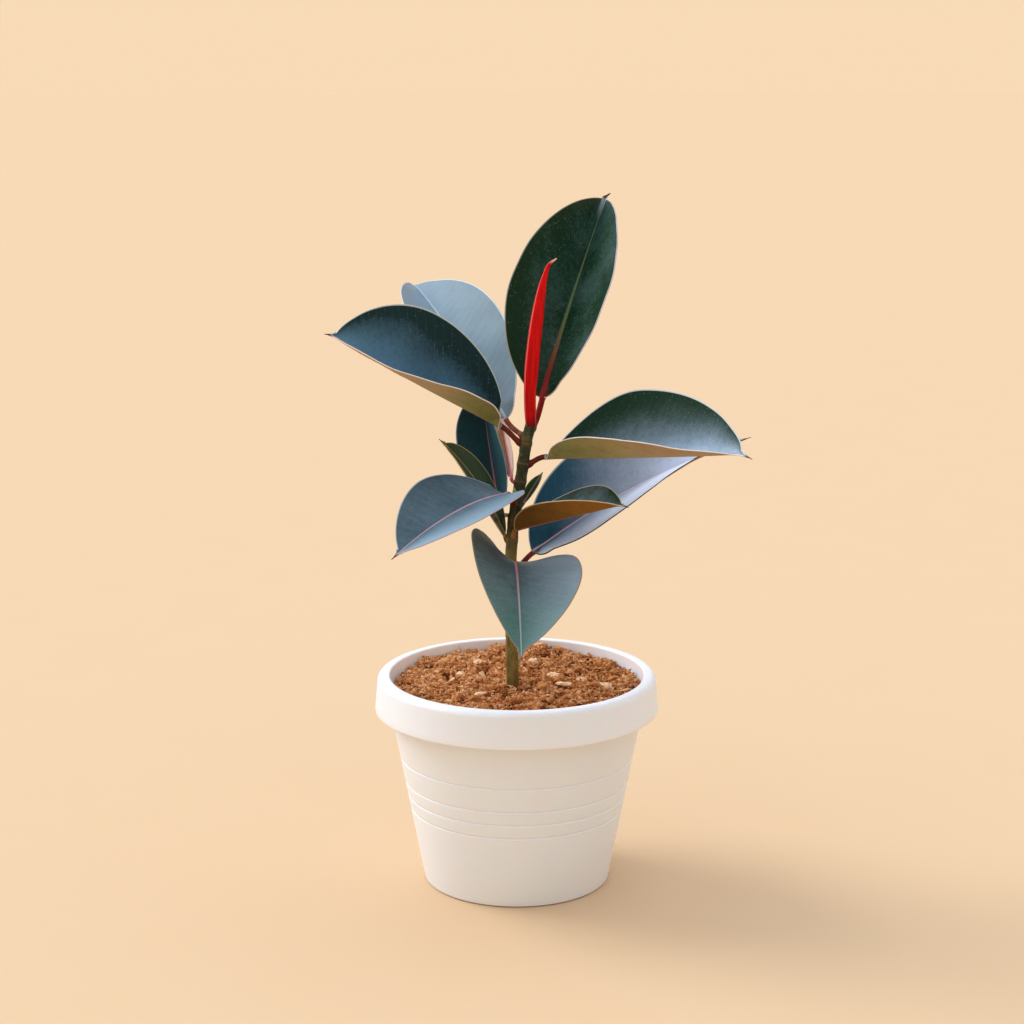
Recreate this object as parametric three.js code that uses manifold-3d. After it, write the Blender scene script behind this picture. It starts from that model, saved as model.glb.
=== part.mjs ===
// A young rubber plant in a white plastic pot.
// Millimetres, +Z up. The origin is the centre of the pot's underside, on the table.
// The front of the plant, where one leaf droops over the soil, faces -Y.
import * as THREE from 'three';
import { mergeVertices } from 'three/addons/utils/BufferGeometryUtils.js';
import Module from 'manifold-3d';

const wasm = await Module();
wasm.setup();

// ---------------------------------------------------------------- driving dimensions
const GAP = 0.32; // between pieces that touch
const WELD = 1e-4; // points closer than this are one point

const RIM_DIAMETER = 160; // widest, at the lower edge of the turned-down rim
const POT_HEIGHT = 120;
const POT_MOUTH_RADIUS = 71.5;
const RIM_TOP_RADIUS = 78.6;
const RIM_DROP = 20; // height of the turned-down rim
const RIM_THICKNESS = 2;
const RIM_EDGE_RADIUS = 3.6; // outer top edge
const RIM_FOOT_CHAMFER = 0.5; // lower outer edge
const RIM_FOOT_RISE = 0.6;
const RIM_CORNER = 0.4; // under the rim's top, where wall and skirt meet it
const MOUTH_EDGE_RADIUS = 1;
const WALL = 2.2;
const BODY_BASE_RADIUS = 52.5; // the sloping wall carried down to the table
const BODY_TAPER = 0.188; // gain in radius for each millimetre of height
const WALL_LEAN = THREE.MathUtils.radToDeg(Math.atan(BODY_TAPER));
const FOOT_RING_RADIUS = 49.5; // the pot stands on a low ring, a little inside its edge
const FOOT_RING_HEIGHT = 0.5;
const FOOT_RADIUS = 51.9; // where the foot's edge starts to round
const FOOT_EDGE = 0.8;
const FLOOR = 2.5;
const FLOOR_CORNER = 3; // bevel between the floor and the inside of the wall
const GROOVE_HEIGHTS = [43, 51, 59, 73];
const GROOVE_DEPTH = 0.5;
const GROOVE_HALF_WIDTH = 0.7;
const POT_SIDES = 48;
const DRAIN_HOLES = 6;
const DRAIN_RADIUS = 4;
const DRAIN_CIRCLE = 32;
const DRAIN_SIDES = 16;

const SOIL_LEVEL = 112.5;
const SOIL_BACK_RISE = 2; // the soil rises towards the back of the pot
const SOIL_BACK_REACH = 60; // over this distance from the middle
const SOIL_HEAP = { x: 4, width: 20, start: 20, run: 45, height: 4.5 }; // and is heaped behind the stem
const SOIL_LUMP = 0.5;
// Lumps as waves: share of the height, radians for each mm along X and along Y, start in radians.
const SOIL_WAVES = [
  [0.5, 0.21, 0.17, 0.9], [0.5, 0.21, -0.17, 1.7], [0.6, 0.43, -0.31, 0], [0.4, 0.2, 0.52, 3.57],
];
const SOIL_RING_SHARES = [1, 0.84, 0.7, 0.56, 0.42, 0.28, 0.14]; // rings of the soil's top
const SOIL_SIDES = 32;
const SOIL_EDGE_GAP = 0.67; // between the soil's level edge and the wall
const SOIL_FOOT_IN = 4; // how far the soil's flat foot stays inside the foot of the wall
const SOIL_BEVEL_GAP = 0.72; // between soil and pot at the floor's bevel

const LEAF_THICKNESS = 1;
const MARGIN_THICKNESS = 0.7;
const MIDRIB_END = 0.35; // radius of the midrib at the leaf's tip
const PETIOLE_SIDE = 0.2; // least half thickness at a petiole's two sides
const PETIOLE_RISE = 0.35; // how steeply a petiole leaves the stem, as a share of its length
const PETIOLE_START = 0.4; // how far it holds that direction
const PETIOLE_END = 0.35; // how far it already follows the midrib's direction
const PETIOLE_MERGE = 0.1; // part of the blade's length over which the petiole flattens into it
const FOLD_START = 0.06; // part of the blade's length over which it takes up its fold
const HOOK_START = 0.86;
const HOOK_EASE = 1.5;
const DRIP_HALF_WIDTH = 0.5; // of the narrow drip tip
const DRIP_NARROWING = 0.6; // share of that width lost by its end
const MIDRIB_STEPS = 60;
const BLADE_SECTIONS = 14;
const PETIOLE_SECTIONS = 5;
const ROUND_PLACES = [1, 0.866, 0.5, 0, -0.5, -0.866, -1]; // across a round petiole
const FLAT_PLACES = [1, 0.62, 0.12, 0, -0.12, -0.62, -1]; // across a flat blade

// The stem's axis from its cut end in the soil to the growing tip: [x, y, z].
const STEM_AXIS = [
  [-1, 0, 58], [-1.6, 0, 90], [-2.2, 0, 114], [-2.7, 0, 140], [-3.4, 0, 168],
  [-3.2, 0, 190], [-1.9, 0, 206], [0.6, 0, 222], [3.4, 0, 239], [5.1, 0, 251], [7.8, 0.4, 262],
];
const STEM_RADIUS_LOW = 3.65;
const STEM_RADIUS_TOP = 3;
const STEM_NODE_HEIGHTS = [178, 197, 208, 217, 230, 240, 251];
const STEM_NODE_SWELL = 0.35;
const STEM_NODE_SPREAD = 2; // half length of a swelling
const STEM_STEPS = 34;
const STEM_SIDES = 10;

// The red sheath that wraps the next leaf: [x, y, z, radius].
const SHEATH_AXIS = [
  [7.9, 0.2, 262.6, 2.6], [7.4, -0.4, 268, 3.2], [7.2, -0.7, 280, 3.4], [8, -0.8, 292, 3.9],
  [9.2, -0.9, 306, 3.8], [11.2, -1.1, 322, 3.4], [13.2, -1.2, 335, 2.5], [15.2, -1.3, 344, 1.5],
  [17.4, -1.3, 350, 0.9], [21.6, -1.4, 353.4, 0.45],
];
const SHEATH_STEPS = 18;
const SHEATH_SIDES = 10;

// The small green bud in a leaf axil: [x, y, z, radius].
const BUD_AXIS = [
  [-0.8, -3.2, 221.4, 0.9], [-1, -4.3, 222.8, 1.4], [-1.2, -4.6, 225, 1.2], [-1.4, -4.6, 227.4, 0.4],
];
const BUD_STEPS = 6;
const BUD_SIDES = 8;

// Leaves. Lengths in mm, angles in degrees.
// base is where the blade starts; node is the height at which the petiole leaves the stem.
// heading and pitch give the midrib's direction at the base (0 is +X, 90 is +Y, pitch is upwards);
// droop and sweep are how much pitch and heading change along it; roll and twist turn the blade
// about it. Each half leaves the midrib at its fold angle and bends on by its curl;
// close adds to both folds towards the tip, hook bends the blade's end up or down,
// and veer turns the drip tip sideways.
// widest is where along it the blade is widest; shoulder and taper are how bluntly it narrows from
// there to the base and to the tip.
// Where a measure has two values, the first is for the left half and the second for the right half.
const LEAF_DEFAULTS = {
  pitch: 0, droop: 0, sweep: 0, roll: 0, twist: 0, curl: 12, close: 0, hook: 0, veer: 0,
  widest: 0.46, shoulder: 0.7, taper: 0.83, tipStart: 0.94, petiole: 1.7,
};
const LEAVES = {
  leaf_top: {
    node: 257, base: [14.2, 10, 275], heading: 61, pitch: 58, droop: -20, sweep: 10, roll: 16,
    length: 145, halfWidth: [39.5, 40], fold: [17, 38], close: [30, 22], widest: [0.43, 0.45],
    shoulder: [0.62, 0.74], taper: [0.86, 0.93], veer: -75, tipStart: 0.965, petiole: 1.9,
  },
  leaf_upper_back: {
    node: 254, base: [-6, 12.5, 262.7], heading: 127, pitch: 43, droop: -31, sweep: -19, roll: -19,
    twist: 22, length: 145, halfWidth: 31, fold: [22, 29], curl: [18, 20], hook: -30,
  },
  leaf_upper_left: {
    node: 250, base: [-9, -1, 261.5], heading: 198, pitch: 28, droop: 1.5, sweep: 34, roll: -46,
    twist: -8, length: 127, halfWidth: [41, 38.6], fold: [60, 46], curl: [18, 12],
    close: [-36, -24], hook: -20, widest: 0.5, shoulder: [0.7, 0.65], taper: [0.75, 0.84],
  },
  leaf_upper_right: {
    node: 238, base: [16, -1, 244], heading: -24, pitch: 4, droop: 7, sweep: -31, roll: 20,
    twist: 14, length: 138, halfWidth: 38, fold: [42, 50], close: -13, hook: -25,
    widest: [0.4, 0.46], shoulder: [1.1, 0.78], taper: [0.72, 0.83],
  },
  leaf_lower_right: {
    node: 178, base: [9, 6, 188], heading: 24, pitch: 32, droop: -14, sweep: -19, roll: 33,
    twist: -14, length: 143, halfWidth: 37, fold: [16, 27], close: 8, widest: 0.42,
    taper: [0.83, 0.9],
  },
  leaf_small_right: {
    node: 197, base: [0, -6.5, 204.3], heading: -38, pitch: 18, sweep: -8, roll: 4, twist: 14,
    length: 83, halfWidth: 22, fold: [27, 38], curl: 7, hook: -30, petiole: 1.3,
  },
  leaf_lower_left: {
    node: 216, base: [-5, -14, 225.6], heading: 242, pitch: 8, droop: -35, sweep: -15, roll: -1,
    twist: -14, length: 106, halfWidth: [29, 26.5], fold: [9, 20], curl: 16,
    widest: [0.42, 0.46], taper: [0.76, 0.8], petiole: 1.5,
  },
  leaf_front: {
    node: 172, base: [-2, -12, 184.5], heading: -88, pitch: 28, droop: -88, sweep: 1, roll: -11,
    twist: -14, length: 113, halfWidth: [35, 33], fold: [9, 21], curl: [22, 24], close: [11, -16],
    shoulder: [0.7, 0.82], veer: -50, petiole: 1.5,
  },
  leaf_back_left: {
    node: 209, base: [-9.8, 16.2, 211.2], heading: 114, pitch: 67, droop: -14, sweep: -15, roll: -31,
    twist: -3, length: 78, halfWidth: [21.5, 23], fold: [27, 42], curl: [19, 20], close: 19,
    petiole: 1.3,
  },
  leaf_small_left: {
    node: 194, base: [-6.7, -0.3, 199], heading: 198, pitch: 69, droop: -28, sweep: 20, roll: -43,
    twist: -12, length: 72, halfWidth: [11, 14], fold: [12, 3], curl: [4, 0], close: 2,
    petiole: 1.2,
  },
  leaf_tiny_back: {
    node: 212, base: [3.8, 7, 216], heading: 45, pitch: 46, roll: 14, length: 22, halfWidth: 4,
    fold: [34, 30], curl: 8, petiole: 0.9,
  },
  leaf_young_back: {
    node: 228, base: [-3, 7, 230], heading: 101, pitch: 44, sweep: 3, roll: 178, length: 63,
    halfWidth: 7, fold: [46, 56], curl: 20, petiole: 1.1,
  },
};

// Chips and pebbles half sunk in the soil: [x, y], half sizes and turn about Z in degrees.
const CHIPS = [
  { at: [10, 36], half: [3, 2.6, 2.4], turn: 20 },
  { at: [21, 14], half: [4.8, 3.4, 1.9], turn: -15 },
  { at: [27, 0], half: [5.4, 1.9, 1.2], turn: -22 },
  { at: [36.5, 5], half: [3.2, 2.4, 1.6], turn: 30 },
  { at: [49, -6], half: [5, 3.4, 2.5], turn: 15 },
  { at: [-22, 38], half: [2.8, 2.4, 2], turn: 10 },
  { at: [-32, 19], half: [3.6, 2.2, 1.5], turn: 60 },
  { at: [-20, -20], half: [4.4, 1.8, 1.3], turn: 25 },
];
const CHIP_RISE = 0.4; // part of a chip's half height by which its middle stands above the soil
const CHIP_GAP = 0.45; // wider than GAP, because a chip's sloping flats close some of it
const CHIP_WEAR = 0.12; // unevenness, as a share of the size
const CHIP_WAVES = { x: 5, y: 4, step: 2 }; // radians for each half size, and from chip to chip

// ---------------------------------------------------------------- materials
const potPlastic = new THREE.MeshStandardMaterial({ color: 0xf3f1ee, roughness: 0.42, metalness: 0 });
const soilCrumbs = new THREE.MeshStandardMaterial({ color: 0xa9683a, roughness: 0.98, metalness: 0 });
const stemBark = new THREE.MeshStandardMaterial({ color: 0x4b4a2c, roughness: 0.7, metalness: 0 });
const leafSkin = new THREE.MeshStandardMaterial({ color: 0x22393a, roughness: 0.35, metalness: 0 });
const sheathSkin = new THREE.MeshStandardMaterial({ color: 0xc20d18, roughness: 0.4, metalness: 0 });
const budSkin = new THREE.MeshStandardMaterial({ color: 0x8fa25a, roughness: 0.5, metalness: 0 });
const chipStone = new THREE.MeshStandardMaterial({ color: 0xd2a878, roughness: 0.9, metalness: 0 });

// ---------------------------------------------------------------- solids
function toSolid(geometry) {
  const bare = geometry.clone();
  bare.deleteAttribute('normal');
  bare.deleteAttribute('uv');
  const merged = mergeVertices(bare, WELD);
  const vertProperties = new Float32Array(merged.attributes.position.array);
  const triVerts = new Uint32Array(merged.index.array);
  return new wasm.Manifold(new wasm.Mesh({ numProp: 3, vertProperties, triVerts }));
}

function toGeometry(solid) {
  const { vertProperties, triVerts } = solid.getMesh();
  const geometry = new THREE.BufferGeometry();
  geometry.setAttribute('position', new THREE.BufferAttribute(vertProperties, 3));
  geometry.setIndex(new THREE.BufferAttribute(triVerts, 1));
  geometry.computeVertexNormals();
  return geometry;
}

// A closed body through rings of equal point counts, with a fan over each end.
function loft(rings) {
  const count = rings[0].length;
  const points = rings.flat();
  const start = points.length;
  points.push(centreOf(rings[0]), centreOf(rings.at(-1)));
  const index = [];
  for (let i = 0; i + 1 < rings.length; i += 1) {
    for (let j = 0; j < count; j += 1) {
      const a = i * count + j;
      const b = i * count + (j + 1) % count;
      index.push(a, b, b + count, a, b + count, a + count);
    }
  }
  const last = (rings.length - 1) * count;
  for (let j = 0; j < count; j += 1) {
    const next = (j + 1) % count;
    index.push(start, next, j);
    index.push(start + 1, last + j, last + next);
  }
  const geometry = new THREE.BufferGeometry().setFromPoints(points);
  geometry.setIndex(index);
  return geometry;
}

function centreOf(ring) {
  const sum = new THREE.Vector3();
  ring.forEach((point) => sum.add(point));
  return sum.divideScalar(ring.length);
}

// A round ring about a centre, square to a direction.
function roundRing(centre, direction, radius, sides) {
  const across = new THREE.Vector3(0, 1, 0).cross(direction).normalize();
  const up = direction.clone().cross(across).normalize();
  return Array.from({ length: sides }, (_, j) => {
    const angle = (2 * Math.PI * j) / sides;
    return centre.clone()
      .addScaledVector(across, radius * Math.cos(angle))
      .addScaledVector(up, radius * Math.sin(angle));
  });
}

// A round rod along a smooth curve, with a radius for each place from 0 to 1 along it.
function rod(curve, radiusAt, steps, sides) {
  const rings = [];
  for (let i = 0; i <= steps; i += 1) {
    const t = i / steps;
    rings.push(roundRing(curve.getPoint(t), curve.getTangent(t), radiusAt(t), sides));
  }
  return loft(rings);
}

const curveThrough = (rows) => new THREE.CatmullRomCurve3(
  rows.map(([x, y, z]) => new THREE.Vector3(x, y, z)),
);

// Reads a value from a list of rows by its place from 0 to 1 along them.
function alongRows(rows, column, t) {
  const place = t * (rows.length - 1);
  const i = Math.min(Math.floor(place), rows.length - 2);
  return THREE.MathUtils.lerp(rows[i][column], rows[i + 1][column], place - i);
}

// ---------------------------------------------------------------- stem
const stemCurve = curveThrough(STEM_AXIS);

function stemRadius(z) {
  const climb = (z - SOIL_LEVEL) / (STEM_AXIS.at(-1)[2] - SOIL_LEVEL);
  const plain = THREE.MathUtils.lerp(STEM_RADIUS_LOW, STEM_RADIUS_TOP, THREE.MathUtils.clamp(climb, 0, 1));
  const swell = STEM_NODE_HEIGHTS.reduce(
    (sum, node) => sum + Math.exp(-(((z - node) / STEM_NODE_SPREAD) ** 2)),
    0,
  );
  return plain + STEM_NODE_SWELL * Math.min(swell, 1);
}

function stemAt(z) {
  const rows = STEM_AXIS;
  let i = 0;
  while (i < rows.length - 2 && rows[i + 1][2] < z) i += 1;
  const share = (z - rows[i][2]) / (rows[i + 1][2] - rows[i][2]);
  const [x, y] = [0, 1].map((column) => THREE.MathUtils.lerp(rows[i][column], rows[i + 1][column], share));
  return new THREE.Vector3(x, y, z);
}

const makeStem = () => rod(
  stemCurve,
  (t) => stemRadius(stemCurve.getPoint(t).z),
  STEM_STEPS,
  STEM_SIDES,
);

// The stem with the gap all round, for cutting the seats of what touches it.
function makeStemSeat() {
  const rows = STEM_AXIS.map((row) => row.slice());
  rows[0][2] -= GAP;
  rows.at(-1)[2] += GAP;
  const curve = curveThrough(rows);
  const seatRadius = (t) => stemRadius(curve.getPoint(t).z) + GAP;
  return toSolid(rod(curve, seatRadius, STEM_STEPS, STEM_SIDES));
}

const stemSeat = makeStemSeat();
const seatedOnStem = (geometry) => toGeometry(toSolid(geometry).subtract(stemSeat));

// ---------------------------------------------------------------- leaves
const LEFT = 0;
const RIGHT = 1;

// One half's value of a measure, where it has two.
const onSide = (value, side) => (Array.isArray(value) ? value[side] : value);

// Half width of the blade at t along the midrib.
function bladeWidth(leaf, t, side) {
  const widest = onSide(leaf.widest, side);
  const rise = (1 - (1 - Math.min(t / widest, 1)) ** 2) ** onSide(leaf.shoulder, side);
  const reach = THREE.MathUtils.clamp((t - widest) / (leaf.tipStart - widest), 0, 1);
  const fall = (1 - reach * reach) ** onSide(leaf.taper, side);
  const drip = THREE.MathUtils.clamp((t - leaf.tipStart) / (1 - leaf.tipStart), 0, 1);
  const tip = DRIP_HALF_WIDTH * (1 - DRIP_NARROWING * drip);
  return Math.max(onSide(leaf.halfWidth, side) * (t < widest ? rise : fall), tip);
}

// Forward, left and up directions of the blade at t along the midrib.
function bladeFrame(leaf, t) {
  const rad = THREE.MathUtils.degToRad;
  const bend = THREE.MathUtils.clamp((t - HOOK_START) / (1 - HOOK_START), 0, 1);
  const hook = leaf.hook * bend ** HOOK_EASE;
  const pitch = rad(leaf.pitch + leaf.droop * t + hook);
  const drip = THREE.MathUtils.clamp((t - leaf.tipStart) / (1 - leaf.tipStart), 0, 1);
  const heading = rad(leaf.heading + leaf.sweep * t + leaf.veer * drip);
  const roll = rad(leaf.roll + leaf.twist * t);
  const forward = new THREE.Vector3(
    Math.cos(pitch) * Math.cos(heading),
    Math.cos(pitch) * Math.sin(heading),
    Math.sin(pitch),
  );
  const level = new THREE.Vector3(-Math.sin(heading), Math.cos(heading), 0);
  const above = forward.clone().cross(level);
  const left = level.clone().multiplyScalar(Math.cos(roll)).addScaledVector(above, Math.sin(roll));
  const up = above.clone().multiplyScalar(Math.cos(roll)).addScaledVector(level, -Math.sin(roll));
  return { forward, left, up };
}

function midribPoints(leaf) {
  const points = [new THREE.Vector3(...leaf.base)];
  const step = leaf.length / MIDRIB_STEPS;
  for (let i = 0; i < MIDRIB_STEPS; i += 1) {
    const { forward } = bladeFrame(leaf, (i + 0.5) / MIDRIB_STEPS);
    points.push(points[i].clone().addScaledVector(forward, step));
  }
  return points;
}

// Where a place across the blade lies, and which way its surface faces there.
function bladePlace(leaf, frame, t, across, widths) {
  const side = across >= 0 ? LEFT : RIGHT;
  const reach = Math.abs(across);
  const taken = THREE.MathUtils.smoothstep(t, 0, FOLD_START);
  const fold = (onSide(leaf.fold, side) + onSide(leaf.close, side) * t) * taken;
  const half = THREE.MathUtils.degToRad(onSide(leaf.curl, side) * reach) / 2;
  const lean = THREE.MathUtils.degToRad(fold) + half;
  const chord = widths[side] * reach * (1 - (half * half) / 6);
  const sign = side === LEFT ? 1 : -1;
  const offset = frame.left.clone().multiplyScalar(sign * chord * Math.cos(lean))
    .addScaledVector(frame.up, chord * Math.sin(lean));
  const slope = reach === 0 ? 0 : lean + half;
  const facing = frame.up.clone().multiplyScalar(Math.cos(slope))
    .addScaledVector(frame.left, -sign * Math.sin(slope));
  return { offset, facing };
}

// One ring of a leaf: round on the petiole (flat = 0), a thin folded blade beyond it (flat = 1).
function leafRing(leaf, centre, frame, t, flat, ribRadius, widths) {
  const places = ROUND_PLACES.map((place, k) => THREE.MathUtils.lerp(place, FLAT_PLACES[k], flat));
  const surface = (place, upwards) => {
    const { offset, facing } = bladePlace(leaf, frame, t, place, widths);
    const across = widths[place >= 0 ? LEFT : RIGHT] * place;
    const blade = THREE.MathUtils.lerp(LEAF_THICKNESS, MARGIN_THICKNESS, Math.abs(place)) / 2;
    const round = Math.sqrt(Math.max(0, ribRadius ** 2 - across ** 2));
    const depth = upwards > 0
      ? THREE.MathUtils.lerp(Math.max(round, PETIOLE_SIDE), blade, flat)
      : Math.max(round, THREE.MathUtils.lerp(PETIOLE_SIDE, blade, flat));
    return centre.clone().add(offset).addScaledVector(facing, upwards * depth);
  };
  const upper = places.map((place) => surface(place, 1));
  const lower = places.slice().reverse().map((place) => surface(place, -1));
  return [...upper, ...lower];
}

function makeLeaf(spec) {
  const leaf = { ...LEAF_DEFAULTS, ...spec };
  const midrib = midribPoints(leaf);
  const baseFrame = bladeFrame(leaf, 0);
  const base = midrib[0];

  // The petiole leaves the stem's axis towards the blade and meets it along the midrib.
  const root = stemAt(leaf.node);
  const reach = base.distanceTo(root);
  const outward = new THREE.Vector3(base.x - root.x, base.y - root.y, PETIOLE_RISE * reach).normalize();
  const petiole = new THREE.CubicBezierCurve3(
    root,
    root.clone().addScaledVector(outward, PETIOLE_START * reach),
    base.clone().addScaledVector(baseFrame.forward, -PETIOLE_END * reach),
    base,
  );
  const rings = [];
  for (let i = 0; i < PETIOLE_SECTIONS; i += 1) {
    const s = i / PETIOLE_SECTIONS;
    const forward = petiole.getTangent(s);
    const left = baseFrame.up.clone().cross(forward).normalize();
    const frame = { forward, left, up: forward.clone().cross(left) };
    rings.push(leafRing(leaf, petiole.getPoint(s), frame, 0, 0, leaf.petiole, [leaf.petiole, leaf.petiole]));
  }
  for (let i = 0; i <= BLADE_SECTIONS; i += 1) {
    const t = 0.5 * (1 - Math.cos((Math.PI * i) / BLADE_SECTIONS));
    const flat = THREE.MathUtils.smoothstep(t, 0, PETIOLE_MERGE);
    const place = t * MIDRIB_STEPS;
    const k = Math.min(Math.floor(place), MIDRIB_STEPS - 1);
    const centre = midrib[k].clone().lerp(midrib[k + 1], place - k);
    const ribRadius = THREE.MathUtils.lerp(leaf.petiole, MIDRIB_END, Math.sqrt(t));
    const stalk = leaf.petiole * (1 - t / PETIOLE_MERGE);
    const widths = [LEFT, RIGHT].map((side) => Math.max(bladeWidth(leaf, t, side), stalk));
    rings.push(leafRing(leaf, centre, bladeFrame(leaf, t), t, flat, ribRadius, widths));
  }
  return seatedOnStem(loft(rings));
}

// ---------------------------------------------------------------- sheath and bud
const RADIUS_COLUMN = 3;
const rodThrough = (rows, steps, sides) => rod(
  curveThrough(rows),
  (t) => alongRows(rows, RADIUS_COLUMN, t),
  steps,
  sides,
);

// ---------------------------------------------------------------- pot
const bodyRadius = (z) => BODY_BASE_RADIUS + BODY_TAPER * z; // outside of the wall
const innerRadius = (z) => THREE.MathUtils.lerp( // inside of the wall
  bodyRadius(0) - WALL,
  POT_MOUTH_RADIUS,
  z / (POT_HEIGHT - MOUTH_EDGE_RADIUS),
);

function arc(points, centreX, centreY, radius, from, to, steps) {
  for (let i = 0; i <= steps; i += 1) {
    const angle = THREE.MathUtils.degToRad(THREE.MathUtils.lerp(from, to, i / steps));
    points.push(new THREE.Vector2(centreX + radius * Math.cos(angle), centreY + radius * Math.sin(angle)));
  }
}

function makePot() {
  const at = (radius, z) => new THREE.Vector2(radius, z);
  const rimInside = RIM_TOP_RADIUS - RIM_THICKNESS;
  const rimUnder = POT_HEIGHT - WALL - RIM_CORNER;
  const rimFoot = POT_HEIGHT - RIM_DROP;
  const rimRadius = RIM_DIAMETER / 2;
  const profile = [at(0, 0), at(FOOT_RING_RADIUS, 0), at(FOOT_RING_RADIUS, FOOT_RING_HEIGHT)];
  arc(profile, FOOT_RADIUS, FOOT_RING_HEIGHT + FOOT_EDGE, FOOT_EDGE, -90, -WALL_LEAN, 3);
  GROOVE_HEIGHTS.forEach((z) => {
    profile.push(at(bodyRadius(z - GROOVE_HALF_WIDTH), z - GROOVE_HALF_WIDTH));
    profile.push(at(bodyRadius(z) - GROOVE_DEPTH, z));
    profile.push(at(bodyRadius(z + GROOVE_HALF_WIDTH), z + GROOVE_HALF_WIDTH));
  });
  profile.push(at(bodyRadius(rimFoot), rimFoot));
  profile.push(at(bodyRadius(POT_HEIGHT - 2 * WALL), POT_HEIGHT - 2 * WALL));
  profile.push(at(bodyRadius(POT_HEIGHT - WALL), rimUnder));
  profile.push(at(rimInside - RIM_CORNER, rimUnder));
  profile.push(at(rimRadius - RIM_THICKNESS, rimFoot));
  profile.push(at(rimRadius - RIM_FOOT_CHAMFER, rimFoot));
  profile.push(at(rimRadius, rimFoot + RIM_FOOT_RISE));
  arc(profile, RIM_TOP_RADIUS - RIM_EDGE_RADIUS, POT_HEIGHT - RIM_EDGE_RADIUS, RIM_EDGE_RADIUS, 0, 90, 4);
  const mouthEdge = POT_MOUTH_RADIUS + MOUTH_EDGE_RADIUS;
  arc(profile, mouthEdge, POT_HEIGHT - MOUTH_EDGE_RADIUS, MOUTH_EDGE_RADIUS, 90, 180, 2);
  profile.push(at(innerRadius(FLOOR + FLOOR_CORNER), FLOOR + FLOOR_CORNER));
  profile.push(at(innerRadius(FLOOR) - FLOOR_CORNER, FLOOR));
  profile.push(at(0, FLOOR));
  const body = new THREE.LatheGeometry(profile, POT_SIDES);
  body.rotateX(Math.PI / 2);
  let solid = toSolid(body);
  for (let i = 0; i < DRAIN_HOLES; i += 1) {
    const angle = (2 * Math.PI * i) / DRAIN_HOLES;
    const drill = new THREE.CylinderGeometry(DRAIN_RADIUS, DRAIN_RADIUS, 4 * FLOOR, DRAIN_SIDES);
    drill.rotateX(Math.PI / 2);
    drill.translate(DRAIN_CIRCLE * Math.cos(angle), DRAIN_CIRCLE * Math.sin(angle), 0);
    solid = solid.subtract(toSolid(drill));
  }
  return toGeometry(solid);
}

// ---------------------------------------------------------------- soil and chips
function soilHeight(x, y) {
  const back = THREE.MathUtils.clamp(y / SOIL_BACK_REACH, 0, 1);
  const behind = THREE.MathUtils.clamp((y - SOIL_HEAP.start) / SOIL_HEAP.run, 0, 1);
  const heap = Math.exp(-(((x - SOIL_HEAP.x) / SOIL_HEAP.width) ** 2)) * behind;
  const lumps = SOIL_WAVES.reduce(
    (sum, [share, alongX, alongY, start]) => sum + share * Math.sin(alongX * x + alongY * y + start),
    0,
  );
  return SOIL_LEVEL + SOIL_BACK_RISE * back + SOIL_HEAP.height * heap + SOIL_LUMP * lumps;
}

function makeSoil(chipSolids) {
  const edge = innerRadius(SOIL_LEVEL) - SOIL_EDGE_GAP;
  const ringOf = (radius, heightAt) => Array.from({ length: SOIL_SIDES }, (_, j) => {
    const angle = (2 * Math.PI * j) / SOIL_SIDES;
    const x = radius * Math.cos(angle);
    const y = radius * Math.sin(angle);
    return new THREE.Vector3(x, y, heightAt(x, y));
  });
  const rings = [ringOf(innerRadius(FLOOR) - SOIL_FOOT_IN, () => FLOOR + GAP)];
  const bevelTop = FLOOR + FLOOR_CORNER + GAP;
  rings.push(ringOf(innerRadius(bevelTop) - SOIL_BEVEL_GAP, () => bevelTop));
  SOIL_RING_SHARES.forEach((share) => rings.push(ringOf(edge * share, soilHeight)));
  let solid = toSolid(loft(rings)).subtract(stemSeat);
  chipSolids.forEach((chip) => {
    solid = solid.subtract(chip);
  });
  return toGeometry(solid);
}

// A worn chip: a coarse ball with uneven flats.
function makeChip(chip, number, extra) {
  const ball = new THREE.IcosahedronGeometry(1, 1);
  const place = ball.attributes.position;
  const point = new THREE.Vector3();
  for (let i = 0; i < place.count; i += 1) {
    point.fromBufferAttribute(place, i);
    const wave = Math.sin(CHIP_WAVES.x * point.x + number)
      * Math.cos(CHIP_WAVES.y * point.y - CHIP_WAVES.step * number);
    const worn = 1 + CHIP_WEAR * wave;
    point.set(
      point.x * (chip.half[0] * worn + extra),
      point.y * (chip.half[1] * worn + extra),
      point.z * (chip.half[2] * worn + extra),
    );
    place.setXYZ(i, point.x, point.y, point.z);
  }
  ball.rotateZ(THREE.MathUtils.degToRad(chip.turn));
  const [x, y] = chip.at;
  ball.translate(x, y, soilHeight(x, y) + CHIP_RISE * chip.half[2]);
  return ball;
}

// ---------------------------------------------------------------- the assembly
const plant = new THREE.Group();

function addPiece(name, geometry, material) {
  const mesh = new THREE.Mesh(geometry, material);
  mesh.name = name;
  plant.add(mesh);
}

addPiece('pot', makePot(), potPlastic);
addPiece('soil', makeSoil(CHIPS.map((chip, i) => toSolid(makeChip(chip, i, CHIP_GAP)))), soilCrumbs);
addPiece('stem', makeStem(), stemBark);
Object.entries(LEAVES).forEach(([name, leaf]) => addPiece(name, makeLeaf(leaf), leafSkin));
addPiece('bud_sheath', seatedOnStem(rodThrough(SHEATH_AXIS, SHEATH_STEPS, SHEATH_SIDES)), sheathSkin);
addPiece('axil_bud', seatedOnStem(rodThrough(BUD_AXIS, BUD_STEPS, BUD_SIDES)), budSkin);
CHIPS.forEach((chip, i) => {
  addPiece(`soil_chip_${i + 1}`, toGeometry(toSolid(makeChip(chip, i, 0))), chipStone);
});

export default plant;
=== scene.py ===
# The looks of a young rubber plant in a white pot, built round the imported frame.
# Shapes are worked out in millimetres and become metres in make_piece; +Z is up, -Y is the front.
import math

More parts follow.
